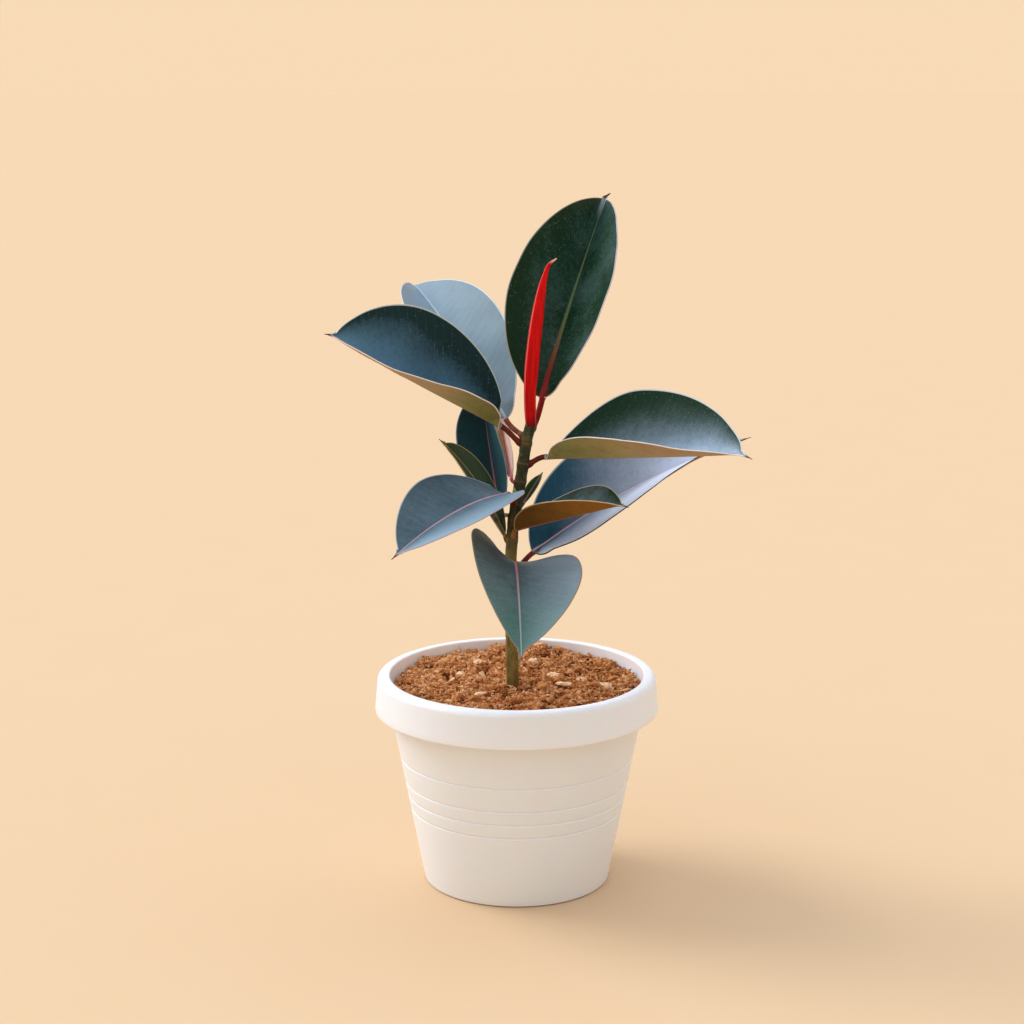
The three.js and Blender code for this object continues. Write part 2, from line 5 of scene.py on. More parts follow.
import bmesh
import bpy
import numpy as np
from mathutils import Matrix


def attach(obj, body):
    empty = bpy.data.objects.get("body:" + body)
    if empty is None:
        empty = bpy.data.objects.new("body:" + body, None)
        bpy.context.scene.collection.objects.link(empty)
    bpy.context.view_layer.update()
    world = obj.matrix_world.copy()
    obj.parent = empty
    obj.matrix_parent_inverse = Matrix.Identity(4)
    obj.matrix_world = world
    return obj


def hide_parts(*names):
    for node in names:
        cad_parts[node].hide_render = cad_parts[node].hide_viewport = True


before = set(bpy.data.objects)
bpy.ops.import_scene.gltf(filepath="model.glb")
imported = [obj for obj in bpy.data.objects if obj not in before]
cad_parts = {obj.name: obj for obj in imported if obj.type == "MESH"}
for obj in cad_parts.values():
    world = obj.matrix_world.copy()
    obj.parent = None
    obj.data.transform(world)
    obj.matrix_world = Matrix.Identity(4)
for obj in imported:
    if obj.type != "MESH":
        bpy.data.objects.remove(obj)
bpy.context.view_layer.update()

MM = 0.001

# -------- sizes
POT_HEIGHT = 120
RIM_RADIUS = 80  # widest, at the lower edge of the turned-down rim
RIM_TOP_RADIUS = 78.6
RIM_DROP = 20
RIM_THICKNESS = 2
RIM_EDGE_RADIUS = 3.6
RIM_CORNER = 0.45
RIM_FILLET = 1.2  # under the rim, where its skirt leaves the body
MOUTH_RADIUS = 71.5
MOUTH_EDGE_RADIUS = 1
WALL = 2.2
BODY_BASE_RADIUS = 52.5
BODY_TAPER = 0.188
FOOT_RING_RADIUS = 49.5  # the pot stands on a low ring, a little inside its edge
FOOT_RING_HEIGHT = 0.5
FOOT_RING_EDGE = 0.3
FOOT_RING_SLOPE = 0.1  # how much wider the ring is at its top
FOOT_RADIUS = 51.9  # where the foot's edge starts to round
FOOT_EDGE = 0.8
FLOOR_THICKNESS = 2.5
FLOOR_CORNER = 3
GROOVE_HEIGHTS = (43, 51, 59, 73)
PLAIN_WALL = (78, 112)  # heights of the wall above the grooves
GROOVE_DEPTH = 0.5
GROOVE_HALF_WIDTH = 0.65
POT_SIDES = 256
DRAIN_HOLES = 6
DRAIN_RADIUS = 4
DRAIN_CIRCLE = 32

SOIL_LEVEL = 112.5
SOIL_BACK_RISE = 2
SOIL_BACK_REACH = 60
SOIL_HEAP = {"x": 4, "width": 20, "start": 20, "end": 65, "height": 4.5}
SOIL_LUMP = 0.5
SOIL_WAVES = ((0.5, 0.21, 0.17, 0.9), (0.5, 0.21, -0.17, 1.7), (0.6, 0.43, -0.31, 0), (0.4, 0.2, 0.52, 3.57))
STEM_FOOT_X = -2.2  # where the stem leaves the soil
STEM_HOLLOW = {"radius": 4.2, "width": 2.4, "depth": 1.3}  # a low ring round the stem's foot
SOIL_PIT = {"x": 27, "y": 19, "width": 4.5, "depth": 2.2}
SOIL_EDGE_RADIUS = 69.8
SOIL_FOOT_Z = 2.9
SOIL_FOOT_GAP = 4
SOIL_FOOT_BEVEL = 3
SOIL_SIDES = 700
SOIL_STEPS = 138
FIBRE_LENGTH = (3.5, 12)
FIBRE_RADIUS = (0.09, 0.2)
PALEST_GRAIN = 1.3
CHIP_COUNT = 8

STEM_AXIS = (
    (-1, 0, 58), (-1.6, 0, 90), (-2.2, 0, 114), (-2.7, 0, 140), (-3.4, 0, 168), (-3.2, 0, 190),
    (-1.9, 0, 206), (0.6, 0, 222), (3.4, 0, 239), (5.1, 0, 251), (7.8, 0.4, 262),
)
STEM_RADIUS_LOW = 3.65
STEM_RADIUS_TOP = 3
STEM_NODE_HEIGHTS = (178, 197, 208, 217, 230, 240, 251)
STEM_NODE_SWELL = 0.35
STEM_NODE_WIDTH = 2.4
STEM_SCAR_OFFSET = 0.4  # how far the leaf's scar lies above the middle of its node
STEM_SCAR_WIDTH = 0.45
STEM_SCAR_SWELL = 0.06

# x, y, z and radius
SHEATH_AXIS = (
    (7.8, 0.3, 261.2, 2.9), (7.4, -0.4, 268, 3.2), (7.2, -0.7, 280, 3.4), (8, -0.8, 292, 3.9),
    (9.2, -0.9, 306, 3.8), (11.2, -1.1, 322, 3.4), (13.2, -1.2, 335, 2.5), (15.2, -1.3, 344, 1.5),
    (17.4, -1.3, 350, 0.9), (21.6, -1.4, 353.4, 0.35),
)
SHEATH_SEAM = 214  # degrees round the sheath from +X towards +Y
SHEATH_STEP = 0.22
SHEATH_LIP_HIGHLIGHT = 0.11  # the width of the pale lip, partly a painted highlight, in radians round the sheath
BUD_AXIS = (
    (-0.8, -3.2, 221.4, 0.9), (-1, -4.3, 222.8, 1.4), (-1.2, -4.6, 225, 1.2), (-1.4, -4.6, 227.4, 0.25),
)

# The leaves: lengths in mm, angles in degrees. Where a measure has two values, the first is for the left
# half and the second for the right half. The measures from node to petiole are the frame's own; slim_base
# is how much of the width a half gives up at its base, where it is not folded yet, so that its outline
# runs smoothly.
# Looks: deep is the upper side with no wax bloom, and the wax colour is the same with all of it; the wax
# colour also stands in for the soft light's sheen, so it is partly a painted reflection. The bloom measure
# says how much
# wax and painted sheen there is: at the base, added by the tip, added towards the left rim, added towards
# the right rim; these slopes paint where the sheen falls. cloud, mottle and streaks are how uneven it is:
# over
# 24 mm, over 2 mm and along the side veins. ease above 1 keeps more of the leaf dark and lets the wax and
# sheen come in more slowly. under is the lower side: where it is cool, warm and dark. rib is the midrib at
# the base and the tip, rims the colour of both rims, or of the left and the right one; rim_width is how wide
# they are in mm and rib_width half the midrib's width at the base. The apex measure is how strongly a
# painted highlight pales the upper side beside the midrib at the tip.
LEAF_DEFAULTS = dict(
    pitch=0, droop=0, sweep=0, roll=0, twist=0, fold=10, curl=12, close=0, hook=0, veer=0, widest=0.46,
    shoulder=0.7, taper=0.83, tip_start=0.94, petiole=1.7, slim_base=0,
    deep="#0f2c20", wax_sheen="#4f7e94", bloom_and_sheen=(0.3, 0.2, 0, 0), fresh="#2f5f58", fresh_share=0, cloud=0.5,
    mottle=0.45, streaks=0.08, veins=0.04, rib=("#b07a86", "#8a7f86"), rib_turn=0.85,
    under=("#8d8250", "#a07c45", "#6a5a2c"), rims="#c9a99f", rim_share=0.85, rim_width=0.75, rib_width=0.9,
    apex_highlight=0, stalk="#7d4430", tip="#4a2420", specks=0.5, rough=0.42, shine=0.14, ease=1,
)
LEAVES = {
    "leaf_top": dict(
        node=257, base=(14.2, 10, 275), heading=61, pitch=58, droop=-20, sweep=10, roll=16, length=145,
        half_width=(39.5, 40), fold=(17, 38), close=(30, 22), widest=(0.43, 0.45), shoulder=(0.62, 0.74),
        taper=(0.86, 0.93), veer=-75, tip_start=0.965, petiole=1.9, slim_base=(0.5, 1),
        deep="#0f2f19", wax_sheen="#5f8080", bloom_and_sheen=(0.05, 0.18, -0.2, -0.05), cloud=0.7, mottle=0.7,
        rib=("#8d1613", "#62754f"), rib_turn=0.4, rib_width=1.9, stalk="#8a1210",
        rims=("#a9aaa2", "#c6c4d4"), specks=1, apex_highlight=0.95,
    ),
    "leaf_upper_back": dict(
        node=254, base=(-6, 12.5, 262.7), heading=127, pitch=43, droop=-31, sweep=-19, roll=-19, twist=22,
        length=145, half_width=31, fold=(22, 29), curl=(18, 20), hook=-30,
        deep="#4f7280", wax_sheen="#8399a9", bloom_and_sheen=(0.65, 0.15, 0, 0), rib=("#a9bac3", "#b4c4cf"), rims="#d6e4ec",
        specks=0.15, streaks=0.7,
    ),
    "leaf_upper_left": dict(
        node=250, base=(-9, -1, 261.5), heading=198, pitch=28, droop=1.5, sweep=34, roll=-46, twist=-8,
        length=127, half_width=(41, 38.6), fold=(60, 46), curl=(18, 12), close=(-36, -24), hook=-20,
        widest=0.5, shoulder=(0.7, 0.65), taper=(0.75, 0.84),
        deep="#0d3034", wax_sheen="#70a4c8", bloom_and_sheen=(0.44, 0.24, 0, -0.75), cloud=0.35,
        under=("#7f8048", "#a88a68", "#6f6238"), rims=("#f6efec", "#d5e0de"), rim_width=1, specks=0.7,
        stalk="#6a2a1e",
    ),
    "leaf_upper_right": dict(
        node=238, base=(16, -1, 244), heading=-24, pitch=4, droop=7, sweep=-31, roll=20, twist=14,
        length=138, half_width=38, fold=(42, 50), close=-13, hook=-25, widest=(0.4, 0.46),
        shoulder=(1.1, 0.78), taper=(0.72, 0.83),
        deep="#0d2f1c", wax_sheen="#c4dcf6", bloom_and_sheen=(0.43, 0.5, -0.72, 0), veins=0.01, mottle=0.35, streaks=0,
        cloud=0.3, under=("#aaa466", "#a48c68", "#7c5a34"), rims=("#dfe5e8", "#f6efe8"), rim_width=1,
        specks=0.7, stalk="#6a2a1e", ease=1.9,
    ),
    "leaf_lower_right": dict(
        node=178, base=(9, 6, 188), heading=24, pitch=32, droop=-14, sweep=-19, roll=33, twist=-14,
        length=143, half_width=37, fold=(16, 27), close=8, widest=0.42, taper=(0.83, 0.9), slim_base=(0, 1),
        deep="#1f4e68", wax_sheen="#dae4fb", bloom_and_sheen=(-0.08, 1.34, -0.3, 0.95), cloud=0.3, mottle=0.25, ease=1.35,
        rib=("#cfa8b4", "#dcccd2"), rib_width=0.6, rims=("#b9c4c9", "#26301c"), rim_share=1, rim_width=1.2,
        stalk="#6c2a26", streaks=0.1, veins=0.02,
    ),
    "leaf_small_right": dict(
        node=197, base=(0, -6.5, 204.3), heading=-38, pitch=18, sweep=-8, roll=4, twist=14, length=83,
        half_width=22, fold=(27, 38), curl=7, hook=-30, petiole=1.3,
        deep="#102f22", wax_sheen="#7399a8", bloom_and_sheen=(0.4, 0, -0.35, 0.1), cloud=1.2, mottle=0.7,
        under=("#6f4c12", "#8e6018", "#4e3410"), rims=("#d0cfae", "#d0bf9c"), stalk="#9a6c3c",
    ),
    "leaf_lower_left": dict(
        node=216, base=(-5, -14, 225.6), heading=242, pitch=8, droop=-35, sweep=-15, roll=-1, twist=-14,
        length=106, half_width=(29, 26.5), fold=(9, 20), curl=16, widest=(0.42, 0.46), taper=(0.76, 0.8),
        petiole=1.5,
        deep="#12343f", wax_sheen="#829cae", bloom_and_sheen=(0.28, 0.05, 0.9, -0.05), rib=("#c095a6", "#b4909a"),
        rims=("#b2a0b0", "#b4c2c8"), streaks=0.15, veins=0.1,
    ),
    "leaf_front": dict(
        node=172, base=(-2, -12, 184.5), heading=-88, pitch=28, droop=-88, sweep=1, roll=-11, twist=-14,
        length=113, half_width=(35, 33), fold=(9, 21), curl=(22, 24), close=(11, -16), shoulder=(0.7, 0.82),
        veer=-50, petiole=1.5,
        deep="#203c3c", wax_sheen="#8fa0ac", bloom_and_sheen=(0.18, 0, 0.75, 0.1), fresh="#5a8c84", fresh_share=0.6,
        rib_turn=1.1, rib=("#cf6670", "#9fb8bc"), rims=("#9a8470", "#8f8a78"), tip="#86704f", streaks=0.3,
        veins=0.1,
    ),
    "leaf_back_left": dict(
        node=209, base=(-9.8, 16.2, 211.2), heading=114, pitch=67, droop=-14, sweep=-15, roll=-31, twist=-3,
        length=78, half_width=(21.5, 23), fold=(27, 42), curl=(19, 20), close=19, petiole=1.3,
        deep="#0a2226", wax_sheen="#3f6c80", bloom_and_sheen=(0.35, 0, 0, 0.25), rib=("#a56a80", "#7a6a78"), rims="#93aab4",
    ),
    "leaf_small_left": dict(
        node=194, base=(-6.7, -0.3, 199), heading=198, pitch=69, droop=-28, sweep=20, roll=-43, twist=-12,
        length=72, half_width=(11, 14), fold=(12, 3), curl=(4, 0), close=2, petiole=1.2,
        deep="#122a18", wax_sheen="#4c6446", bloom_and_sheen=(0.35, 0.2, 0, 0), under=("#b8924e", "#a87c44", "#6a5a2c"),
        rims="#c9ae76", rib=("#9d8a5f", "#9d8a5f"),
    ),
    "leaf_tiny_back": dict(
        node=212, base=(3.8, 7, 216), heading=45, pitch=46, roll=14, length=22, half_width=4, fold=(34, 30),
        curl=8, petiole=0.9,
        deep="#1f3310", wax_sheen="#3c5a24", under=("#3a4f1e", "#45571f", "#6a5a2c"), rims="#6c7a3f",
        stalk="#45571f", tip="#4a4a1d", specks=0,
    ),
    "leaf_young_back": dict(
        node=228, base=(-3, 7, 230), heading=101, pitch=44, sweep=3, roll=178, length=63, half_width=7,
        fold=(46, 56), curl=20, petiole=1.1,
        deep="#ffdcd6", wax_sheen="#fff0ea", under=("#fcdad8", "#ffe9e2", "#6a5a2c"), rib=("#d84468", "#d08490"),
        rims="#f6dcd2", stalk="#a04450", tip="#8a4a44", specks=0,
    ),
}


def linear(code):
    """A shader's linear colour from an sRGB hex code."""
    parts = [int(code[i:i + 2], 16) / 255 for i in (1, 3, 5)]
    return tuple(p / 12.92 if p <= 0.04045 else ((p + 0.055) / 1.055) ** 2.4 for p in parts) + (1,)


# -------- number helpers
def lerp(a, b, t):
    return a + (b - a) * t


def part_way(x, low, high):
    """How far x has come from low to high, kept within 0 and 1."""
    return np.clip((x - low) / (high - low), 0, 1)


def smooth(x, low, high):
    t = part_way(x, low, high)
    return t * t * (3 - 2 * t)


def bell(x, width):
    return np.exp(-((x / width) ** 2))


def round_angles(sides):
    return 2 * np.pi * np.arange(sides) / sides


def triples(x, y, z):
    return np.stack(np.broadcast_arrays(x, y, z), -1)


def unit(v):
    return v / np.linalg.norm(v, axis=-1, keepdims=True)


def softer_max(a, b, power=4):
    """The larger of two positive values, with the corner between them rounded."""
    return (a ** power + b ** power) ** (1 / power)


def ripple(points, size, seed, waves=28):
    """Smooth random ups and downs of about one unit, with features about size mm across."""
    rng = np.random.default_rng(seed)
    directions = unit(rng.normal(size=(waves, 3)))
    steps = 2 * np.pi / (size * rng.uniform(0.7, 1.9, waves))
    starts = rng.uniform(0, 2 * np.pi, waves)
    return np.sin(points @ (directions * steps[:, None]).T + starts).sum(-1) / math.sqrt(waves / 2)


def curve_through(rows, steps):
    """Points on a smooth curve through the rows; any columns after x, y, z follow along."""
    rows = np.array(rows, float)
    p = np.vstack([2 * rows[0] - rows[1], rows, 2 * rows[-1] - rows[-2]])
    gaps = np.sqrt(np.linalg.norm(np.diff(p[:, :3], axis=0), axis=1))
    found = []
    for place in np.linspace(0, len(rows) - 1, steps + 1):
        i = min(int(place), len(rows) - 2)
        u = place - i
        before, here, after = gaps[i:i + 3]
        p0, p1, p2, p3 = p[i:i + 4]
        leave = here * ((p1 - p0) / before - (p2 - p0) / (before + here) + (p2 - p1) / here)
        arrive = here * ((p2 - p1) / here - (p3 - p1) / (here + after) + (p3 - p2) / after)
        found.append(
            p1 + u * leave + u ** 2 * (3 * (p2 - p1) - 2 * leave - arrive)
            + u ** 3 * (2 * (p1 - p2) + leave + arrive)
        )
    return np.array(found)


# -------- mesh helpers
def loft_faces(rings, count):
    """Quads between rings of equal point counts, with a fan of triangles over each end."""
    i, j = np.meshgrid(np.arange(rings - 1), np.arange(count), indexing="ij")
    a = (i * count + j).ravel()
    b = (i * count + (j + 1) % count).ravel()
    faces = np.stack([a, b, b + count, a + count], 1).tolist()
    first, last = rings * count, rings * count + 1
    top = (rings - 1) * count
    for k in range(count):
        n = (k + 1) % count
        faces.append([first, n, k])
        faces.append([last, top + k, top + n])
    return faces


def lofted(rings):
    """Points and faces of a closed body through an array of rings: (rings, points, 3)."""
    rows, count, _ = rings.shape
    points = np.vstack([rings.reshape(-1, 3), rings[0].mean(0), rings[-1].mean(0)])
    return points, loft_faces(rows, count)


def level_rings(radii, sides):
    """x and y round rings about the z axis, a row for each radius."""
    radii = np.asarray(radii)[:, None]
    return radii * np.cos(round_angles(sides)), radii * np.sin(round_angles(sides))


def point_values(values, rings, ends=(0, 0)):
    """A value for every point lofted gives: values fit the rings, ends are for its last two points."""
    return np.append(np.broadcast_to(values, rings.shape[:2]).ravel(), ends)


def read_out(work):
    """Points and faces of a bmesh, which is then freed."""
    points = np.array([v.co[:] for v in work.verts])
    faces = [[v.index for v in f.verts] for f in work.faces]
    work.free()
    return points, faces


def add_object(name, data):
    made = bpy.data.objects.new(name, data)
    bpy.context.scene.collection.objects.link(made)
    return made


def make_piece(name, points, faces, material, node=None, values=None, smooth_faces=True):
    """One piece of the object, in metres, riding on the root body."""
    mesh = bpy.data.meshes.new(name)
    mesh.from_pydata((np.asarray(points) * MM).tolist(), [], faces)
    for key, numbers in (values or {}).items():
        layer = mesh.attributes.new(key, "FLOAT", "POINT")
        layer.data.foreach_set("value", np.asarray(numbers, np.float32).ravel())
    mesh.polygons.foreach_set("use_smooth", [smooth_faces] * len(mesh.polygons))
    mesh.update()
    tidy_normals(mesh)
    piece = add_object(name, mesh)
    mesh.materials.append(material)
    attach(piece, "root")
    if node:
        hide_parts(node)
    return piece


def tidy_normals(mesh):
    work = bmesh.new()
    work.from_mesh(mesh)
    bmesh.ops.recalc_face_normals(work, faces=work.faces)
    work.to_mesh(mesh)
    work.free()


def rod_rings(axis, radii, sides):
    """Round rings along an axis; radii may differ round each ring."""
    along = unit(np.gradient(axis, axis=0))
    across = unit(np.cross(np.array([0.0, 1.0, 0.0]), along))
    up = unit(np.cross(along, across))
    angle = round_angles(sides)
    radii = np.broadcast_to(np.asarray(radii, float).reshape(len(axis), -1), (len(axis), sides))
    return (
        axis[:, None, :]
        + (radii * np.cos(angle))[..., None] * across[:, None, :]
        + (radii * np.sin(angle))[..., None] * up[:, None, :]
    )


# -------- material helpers
class Graph:
    """Short ways to add and join the nodes of a material or world. Sizes of patterns are in millimetres."""

    def __init__(self, owner, place="Object"):
        owner.use_nodes = True
        self.owner = owner
        self.tree = owner.node_tree
        self.place = self.add("ShaderNodeTexCoord").outputs[place]

    def add(self, kind, inputs=None, **settings):
        node = self.tree.nodes.new(kind)
        for key, value in settings.items():
            setattr(node, key, value)
        for key, value in (inputs or {}).items():
            self.put(node.inputs[key], value)
        return node

    def put(self, socket, value):
        if isinstance(value, bpy.types.NodeSocket):
            self.tree.links.new(value, socket)
        else:
            socket.default_value = value

    def math(self, operation, a, b=0.0):
        return self.add("ShaderNodeMath", {0: a, 1: b}, operation=operation).outputs[0]

    def times(self, a, b):
        return self.math("MULTIPLY", a, b)

    def plus(self, a, b):
        return self.math("ADD", a, b)

    def minus(self, a, b):
        return self.math("SUBTRACT", a, b)

    def value(self, name):
        return self.add("ShaderNodeAttribute", attribute_name=name).outputs["Fac"]

    def mix(self, share, a, b):
        node = self.add("ShaderNodeMix", data_type="RGBA")
        self.put(node.inputs[0], share)
        for socket, colour in ((node.inputs[6], a), (node.inputs[7], b)):
            self.put(socket, linear(colour) if isinstance(colour, str) else colour)
        return node.outputs[2]

    def ramp(self, value, low, high, start=0.0, end=1.0):
        """Rises smoothly from start to end as value goes from low to high."""
        inputs = {"Value": value, "From Min": low, "From Max": high, "To Min": start, "To Max": end}
        return self.add("ShaderNodeMapRange", inputs, interpolation_type="SMOOTHSTEP").outputs["Result"]

    def noise(self, size, detail=2.0, rough=0.5, stretch=None, bend=0.0):
        vector = self.place
        if stretch:
            vector = self.add("ShaderNodeMapping", {"Vector": vector, "Scale": stretch}).outputs["Vector"]
        inputs = {
            "Vector": vector, "Scale": 1 / (size * MM), "Detail": detail, "Roughness": rough,
            "Distortion": bend,
        }
        return self.add("ShaderNodeTexNoise", inputs).outputs["Fac"]

    def flat(self, x, y):
        """The place with these two values in a plane."""
        return self.add("ShaderNodeCombineXYZ", {0: x, 1: y}).outputs[0]

    def noise_over(self, x, y, detail):
        """Noise in the plane of two values, with features about one unit across."""
        inputs = {"Vector": self.flat(x, y), "Scale": 1, "Detail": detail}
        return self.add("ShaderNodeTexNoise", inputs).outputs["Fac"]

    def cells(self, size):
        """Distance to the nearest of many scattered points."""
        inputs = {"Vector": self.place, "Scale": 1 / (size * MM)}
        return self.add("ShaderNodeTexVoronoi", inputs).outputs["Distance"]

    def bump(self, height, depth, normal=None):
        inputs = {"Height": height, "Strength": 1.0, "Distance": depth * MM}
        if normal is not None:
            inputs["Normal"] = normal
        return self.add("ShaderNodeBump", inputs).outputs["Normal"]

    def finish(self, colour, rough, normal=None, **fixed):
        """Joins up the material's shader and gives the material."""
        sockets = self.tree.nodes["Principled BSDF"].inputs
        self.put(sockets["Base Color"], colour)
        self.put(sockets["Roughness"], rough)
        if normal is not None:
            self.put(sockets["Normal"], normal)
        for key, value in fixed.items():
            sockets[key.replace("_", " ")].default_value = value
        return self.owner


def material_graph(name):
    return Graph(bpy.data.materials.new(name))


# -------- materials
def pot_material():
    g = material_graph("pot_plastic")
    cloud = g.noise(45, 3)
    fine = g.noise(0.9, 2)
    colour = g.mix(cloud, "#eef3ff", "#eaf0fe")
    rough = g.plus(g.times(g.noise(6, 3), 0.1), 0.34)
    swirl = g.noise(14, 3, stretch=(1, 1, 0.25))
    normal = g.bump(fine, 0.02, g.bump(swirl, 0.05))
    return g.finish(colour, rough, normal, IOR=1.49, Subsurface_Weight=0.3, Subsurface_Scale=0.006)


def soil_material(name, dark, middle, light, rough=0.95):
    """Grain 0 to PALEST_GRAIN runs from dark to pale: a random tone, with painted shade in the soil's
    hollows and under the crumbs.
    """
    g = material_graph(name)
    grain = g.value("grain")
    level = g.plus(g.times(g.noise(8, 4, 0.6), 0.5), g.times(grain, 0.6))
    level = g.plus(level, g.times(g.noise(1.3, 4, 0.7), 0.5))
    colour = g.mix(g.ramp(level, 0.8, 1.1), middle, light)
    colour = g.mix(g.ramp(level, 0.75, 0.45), colour, dark)
    normal = g.bump(g.noise(0.4, 4, 0.7), 0.14, g.bump(g.noise(1.2, 4, 0.65), 0.3))
    return g.finish(colour, rough, normal, IOR=1.4, Specular_IOR_Level=0.2)


def chip_material():
    g = material_graph("husk_chip")
    streak = g.noise(1.6, 4, 0.6, stretch=(0.35, 1, 1), bend=1.5)
    colour = g.mix(g.ramp(streak, 0.35, 0.7), "#e0b284", "#fde2bc")
    colour = g.mix(g.ramp(g.noise(0.7, 3), 0.62, 0.75), colour, "#8a5a30")
    normal = g.bump(streak, 0.18)
    return g.finish(colour, 0.8, normal)


def stem_material():
    g = material_graph("stem_bark")
    ring = g.value("ring")
    height = g.value("height")
    streak = g.noise(2.2, 4, 0.6, stretch=(1, 1, 0.16), bend=0.6)
    cloud = g.noise(14, 3, 0.6)
    low = g.mix(g.ramp(streak, 0.35, 0.7), "#524820", "#86763a")
    high = g.mix(g.ramp(streak, 0.35, 0.7), "#20280c", "#40441a")
    colour = g.mix(g.ramp(height, 150, 225), low, high)
    colour = g.mix(g.ramp(cloud, 0.5, 0.75), colour, "#6a5a30")
    corky = g.mix(g.ramp(g.noise(1.4, 3), 0.3, 0.7), "#6e4a24", "#a06c38")
    colour = g.mix(g.times(ring, 0.4), colour, corky)
    pores = g.ramp(g.cells(3.1), 0.16, 0.08)
    colour = g.mix(g.times(pores, 0.5), colour, "#8f7c52")
    rough = g.plus(g.times(streak, 0.25), 0.42)
    normal = g.bump(pores, 0.1, g.bump(streak, 0.22))
    return g.finish(colour, rough, normal, IOR=1.45)


def sheath_material():
    g = material_graph("red_sheath")
    along = g.value("along")
    lip_highlight = g.value("lip_highlight")
    streak = g.noise(1.6, 3, 0.5, stretch=(1, 1, 0.06))
    colour = g.mix(g.ramp(streak, 0.3, 0.7), "#b80004", "#de040a")
    colour = g.mix(g.ramp(along, 0.12, 0.0), colour, "#7a0a0a")
    # The pale lip along the free edge, partly a painted highlight.
    colour = g.mix(g.times(lip_highlight, 0.6), colour, "#f0a09c")
    colour = g.mix(g.ramp(along, 0.9, 0.97), colour, "#e9b3a4")
    normal = g.bump(streak, 0.12)
    return g.finish(colour, 0.36, normal, IOR=1.45, Specular_IOR_Level=0.15)


def bud_material():
    g = material_graph("pale_bud")
    along = g.value("along")
    streak = g.noise(0.7, 3, stretch=(1, 1, 0.2))
    colour = g.mix(g.ramp(streak, 0.35, 0.7), "#70864a", "#a5b878")
    colour = g.mix(g.ramp(along, 0.75, 1.0), colour, "#b98a5a")
    return g.finish(colour, 0.45, g.bump(streak, 0.1), IOR=1.45)


def vein_patterns(g, at):
    """The side veins' lines, uneven streaks drawn out along them, and an even fine grain."""
    wander = g.plus(at["vein"], g.times(g.noise(16, 2), 2.2))
    broad = g.noise_over(g.times(wander, 0.55), g.times(at["cross"], 1.6), 3.0)
    fine = g.noise_over(g.times(wander, 1.7), g.times(at["cross"], 3), 2.0)
    wave = g.math("SINE", g.times(wander, math.pi / VEIN_SPACING))
    inside = g.times(g.ramp(at["edge"], 0.8, 3.0), g.ramp(at["span"], 0.8, 2.5))
    lines = g.times(g.ramp(g.math("ABSOLUTE", wave), 0.26, 0.0), inside)
    grain = g.plus(g.times(g.noise(2.6, 4, 0.65), 0.6), g.times(g.noise(0.9, 2), 0.4))
    return lines, broad, fine, grain


def wax_and_sheen_level(g, look, at, uneven):
    """How much wax bloom and painted sheen there is, from 0 to 1; uneven lists patterns round 0.5 and their
    shares.
    """
    base, by_tip, by_left, by_right = look["bloom_and_sheen"]
    left_half = g.times(g.math("MAXIMUM", at["cross"], 0.0), by_left)
    right_half = g.times(g.math("MAXIMUM", g.times(at["cross"], -1.0), 0.0), by_right)
    level = g.plus(g.times(at["along"], by_tip), g.plus(left_half, right_half))
    level = g.plus(level, base)
    for pattern, share in uneven:
        level = g.plus(level, g.times(g.minus(pattern, 0.5), share))
    level = g.math("MINIMUM", g.math("MAXIMUM", level, 0.0), 1.0)
    return g.math("POWER", level, look["ease"])


def speck_pattern(g, at):
    """Small pale specks, as dust leaves on the wax, thicker in some places than in others."""
    signed_span = g.times(at["span"], g.math("SIGN", at["cross"]))
    inputs = {"Vector": g.flat(at["vein"], signed_span), "Scale": 1 / SPECK_SPACING}
    spots = g.add("ShaderNodeTexVoronoi", inputs, voronoi_dimensions="2D")
    pick = g.add("ShaderNodeSeparateColor", {0: spots.outputs["Color"]})
    size = g.ramp(pick.outputs[0], 0.3, 1.0, 0.0, 0.16)
    speck = g.ramp(g.minus(spots.outputs["Distance"], size), 0.02, -0.06)
    speck = g.times(speck, g.ramp(g.noise(14, 2), 0.34, 0.6))
    return g.times(speck, g.ramp(pick.outputs[1], 0.0, 1.0, 0.3, 1.0))


def upper_side(g, look, at, lines, wax_sheen):
    # The pale wax colour comes in as wax bloom and also as painted sheen from the soft light.
    colour = g.mix(wax_sheen, look["deep"], look["wax_sheen"])
    colour = g.mix(g.times(g.ramp(at["along"], 0.45, 1.0), look["fresh_share"]), colour, look["fresh"])
    colour = g.mix(g.times(lines, look["veins"]), colour, look["wax_sheen"])
    # Painted highlight: the upper side pales to a light blue-grey beside the midrib near the tip.
    painted_apex_highlight = g.times(g.ramp(at["along"], 0.82, 0.98), g.ramp(at["span"], 4.0, 0.3))
    colour = g.mix(g.times(painted_apex_highlight, look["apex_highlight"]), colour, "#c4d2d8")
    return g.mix(g.times(speck_pattern(g, at), look["specks"] * 0.5), colour, "#9db4b0")


def lower_side(g, look, at, lines, grain):
    turning = g.plus(at["along"], g.times(g.minus(g.noise(13, 4, 0.6, bend=0.8), 0.5), 0.9))
    cool, warm, dark = look["under"]
    colour = g.mix(g.ramp(turning, 0.1, 0.75), cool, warm)
    colour = g.mix(g.times(lines, 0.08), colour, "#a08f63")
    colour = g.mix(g.times(g.ramp(grain, 0.5, 0.7), 0.3), colour, "#5d4c28")
    colour = g.mix(g.times(g.ramp(g.noise(7, 4, 0.6), 0.48, 0.7), 0.28), colour, dark)
    return g.mix(g.times(g.ramp(at["edge"], 1.4, 0.9), 0.8), colour, "#7a3c2c")


def petiole_and_tip(g, look, at, colour):
    """The blade's colour, with the petiole's before its base and the drip tip's at its end."""
    brown = g.mix(0.4, look["stalk"], "#241008")
    stalk_colour = g.mix(g.ramp(g.noise(3, 3), 0.35, 0.65), look["stalk"], brown)
    colour = g.mix(g.ramp(at["along"], 0.03, -0.04), colour, stalk_colour)
    return g.mix(g.ramp(at["along"], 0.95, 0.975), colour, look["tip"])


